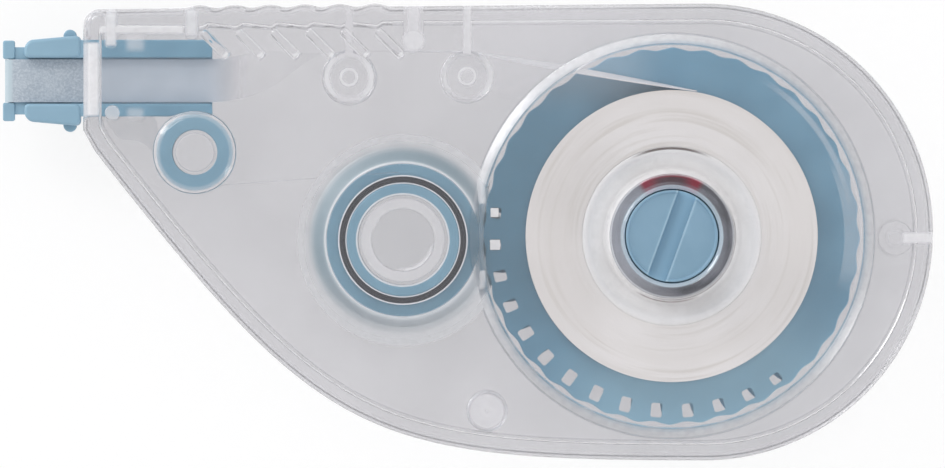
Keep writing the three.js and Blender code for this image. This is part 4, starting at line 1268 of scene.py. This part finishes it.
def roll_looks():
    """The wound side of the tape: fine broken rings, paler and darker by turns."""
    made = Surface("wound tape")
    radius, angle = made.round_place(SUPPLY)
    round_x = angle.cosine() * 0.7
    round_y = angle.math("SINE", angle) * 0.7
    rings = made.noise(1.0, 2.5, made.vector(round_x, round_y, radius * 2.0), 0.6)
    broad = made.noise(1.0, 2.0, made.vector(round_x, round_y, radius * 0.35))
    made.set(Base_Color=made.tinted(broad, (0.88, 0.845, 0.805), (0.94, 0.91, 0.88), 0.35, 0.65))
    # painted shade: darker towards the left
    made.paint(angle.cosine().ranged(-0.98, -0.4, 0.6, 0.0), (0.83, 0.79, 0.75))
    made.paint(rings.ranged(0.3, 0.5, 1.0, 0.0), (0.79, 0.75, 0.7))
    made.gloss(rings, 0.35, 0.5)
    made.bump(rings, 0.01)
    return made


def tape_looks():
    """The correction layer on the band: matte white with a fine speckle, painted as grey-blue shade on the
    head, lighter inside the case, paler at the tip and paler again towards the roll; sheer between its
    guides.
    """
    made = Surface("tape band")
    speckle = made.noise(5.0, 4.0, rough=0.7)
    cloud = made.noise(0.5)
    # painted shade: the white layer coloured grey-blue
    made.set(Base_Color=made.tinted(cloud, (0.32, 0.375, 0.44), (0.37, 0.425, 0.485)))
    made.paint(speckle.ranged(0.35, 0.7), (0.5, 0.55, 0.6))
    # lighter painted shade inside the case
    inside = made.tinted(cloud, (0.52, 0.59, 0.66), (0.56, 0.63, 0.7))
    made.paint(made.x.ranged(NOSE_X, NOSE_X + 1), inside)
    # paler at the tip
    made.paint(made.x.ranged(HEAD_TIP_X + 0.75, HEAD_TIP_X + 1.1, 1.0, 0.0), (0.47, 0.56, 0.61))
    # paler towards the roll
    paler_run = made.mixed(speckle, (0.74, 0.74, 0.76), (0.82, 0.82, 0.84))
    made.paint(made.x.ranged(RAIL_END_X - 1, RAIL_END_X + 3), paler_run)
    made.gloss(speckle, 0.5, 0.65)
    made.bump(speckle, 0.01)
    sheer = made.x.hill((RAIL_END_X + POST_X) / 2 + 1, (POST_X - RAIL_END_X) / 2 - 3, 4.0)
    made.show(sheer * 0.95, made.shader, made.node("BsdfTransparent"))
    return made


def film_looks():
    """The wound carrier film: dark and glossy, with painted highlights on its edges."""
    made = Surface("carrier film")
    radius = made.round_place(TAKEUP)[0]
    rings = made.noise(1.0, 3.0, made.vector(radius * 9.0, 0.0, made.z))
    made.set(Base_Color=made.tinted(rings, (0.004, 0.006, 0.012), (0.012, 0.018, 0.03), 0.35, 0.65))
    # painted highlights on both edges
    made.paint(abs(radius - (FILM_OUTER + TAKEUP_CORE) / 2).ranged(0.27, 0.33), (0.9, 0.92, 0.95))
    made.gloss(rings, 0.16, 0.3)
    made.bump(rings, 0.01)
    return made


def bare_film_looks():
    """The running carrier film: so thin and clear that only its gloss shows."""
    made = Surface("running film")
    cloud = made.noise(0.6)
    made.set(Base_Color=made.mixed(cloud, (0.6, 0.63, 0.66), (0.7, 0.72, 0.75)))
    made.gloss(cloud, 0.12, 0.2)
    made.bump(cloud, 0.005)
    made.show(0.09, made.node("BsdfTransparent"), made.shader)
    return made


def spool_looks():
    """Glossy off-white plastic, with a painted gleam to both sides and painted dark lines where its steps
    lie in shade.
    """
    made = Surface("spool white")
    made.set(Base_Color=made.tinted(made.noise(0.3, 3.0), (0.94, 0.93, 0.91), (0.97, 0.96, 0.94)))
    radius, angle = made.round_place(SUPPLY)
    # painted gleam to both sides
    made.paint(abs(angle.towards(-18)).ranged(0.7, 0.98), (1.0, 0.995, 0.98))
    above = abs(angle - math.radians(91)).ranged(math.radians(12), math.radians(30), 1.0, 0.0)
    # painted shade lines at the steps
    made.paint(radius.hill(SPOOL_RADIUS - 0.25, 0.07, 0.1) * above, (0.1, 0.07, 0.06))
    right = angle.towards(-40).ranged(0.2, 0.7) * 0.7
    made.paint(radius.hill(6.25, 0.04, 0.06) * right, (0.12, 0.1, 0.1))
    below = angle.towards(-95).ranged(0.85, 0.97, 0.0, 0.7)
    made.paint(radius.hill(6.45, 0.04, 0.07) * below, (0.12, 0.05, 0.05))
    made.gloss(made.noise(0.8), 0.22, 0.32)
    made.set(Coat_Weight=1.0, Coat_Roughness=0.1)
    made.bump(made.noise(0.9), 0.01)
    return made


def rubber_looks():
    made = Surface("clutch rubber")
    grain = made.noise(3.0, 3.0)
    made.set(Base_Color=made.tinted(grain, (0.2, 0.02, 0.03), (0.3, 0.04, 0.055)))
    made.gloss(grain, 0.5, 0.65)
    made.bump(grain, 0.02)
    return made


def floor_looks():
    """A white sweep. Rays from the camera meet it nearly white, with a trace of the shadow."""
    made = Surface("white sweep")
    made.set(Base_Color=made.mixed(made.noise(0.004), (0.96, 0.96, 0.96), (0.98, 0.98, 0.98)))
    made.set(Roughness=0.8, Specular_IOR_Level=0.1)
    seen = made.rays("Camera", "Transmission", "Glossy")
    made.show(seen * 0.8, made.shader, made.node("Emission", {"Color": (1, 1, 1)}))
    return made


VIEW_CENTRE = (0.49, -0.196)
VIEW_WIDTH = 92.65
LENS = 800.0
SENSOR = 36.0


def build_floor():
    half = 2000.0
    points = [(-half, -half, -0.06), (half, -half, -0.06), (half, half, -0.06), (-half, half, -0.06)]
    floor = mesh_object("floor", points, [(0, 1, 2, 3)])
    floor.data.materials.append(floor_looks().material)


def build_world():
    """Soft light from all round, a little darker straight above and low down."""
    world = bpy.data.worlds.new("studio")
    bpy.context.scene.world = world
    made = Nodes(world)
    height = made.parts(made.value("TexCoord", output="Generated"))[2]
    shade = made.node("ValToRGB", {0: height})
    stops = shade.color_ramp.elements
    stops[0].color = (0.35, 0.35, 0.37, 1)
    stops[1].color = (0.62, 0.62, 0.63, 1)
    for position, level in ((0.25, 0.75), (0.6, 0.95), (0.9, 0.8)):
        stops.new(position).color = (level, level, level * 1.01, 1)
    light = made.node("Background", {"Color": Value(made.tree, shade.outputs[0])})
    white = made.node("Background", {"Color": (1, 1, 1)})
    made.show(made.rays("Camera"), light, white, "World Output")


def build_lamp(name, place, size, watts):
    lamp = bpy.data.lights.new(name, "AREA")
    lamp.shape = "DISK"
    lamp.size = size * MM
    lamp.energy = watts
    made = bpy.data.objects.new(name, lamp)
    made.location = Vector(place) * MM
    made.rotation_euler = (-Vector(place)).to_track_quat("-Z", "Y").to_euler()
    bpy.context.scene.collection.objects.link(made)


def build_camera():
    camera = bpy.data.cameras.new("camera")
    camera.lens = LENS
    camera.sensor_width = SENSOR
    camera.clip_start = 0.1
    camera.clip_end = 30.0
    made = bpy.data.objects.new("camera", camera)
    height = VIEW_WIDTH * LENS / SENSOR + TAPE_MID
    made.location = Vector((VIEW_CENTRE[0], VIEW_CENTRE[1], height)) * MM
    bpy.context.scene.collection.objects.link(made)
    bpy.context.scene.camera = made


def build_everything():
    clear = clear_surface("clear case", (0.815, 0.81, 0.825), case_haze, case_rough, case_shade)
    build_rear_case(clear)
    build_front_case(clear)
    build_hub_collar(collar_looks())
    build_supply_gear(gear_looks())
    build_takeup_reel(takeup_looks("take-up reel blue", True))
    build_roller(takeup_looks("take-up blue", False))
    build_spool(spool_looks())
    build_roll(roll_looks())
    build_used_roll(film_looks())
    build_clutch(rubber_looks())
    build_hub(knob_looks())
    build_head(head_looks())
    build_fresh_tape(tape_looks())
    build_used_film(bare_film_looks())


build_camera()
build_floor()
build_world()
build_lamp("key light", (-500, 700, 900), 500, 3)
build_lamp("low light left", (-900, 620, 140), 420, 5)
build_lamp("low light right", (900, -500, 160), 420, 2.5)
build_everything()
bpy.context.scene.view_settings.view_transform = "Standard"
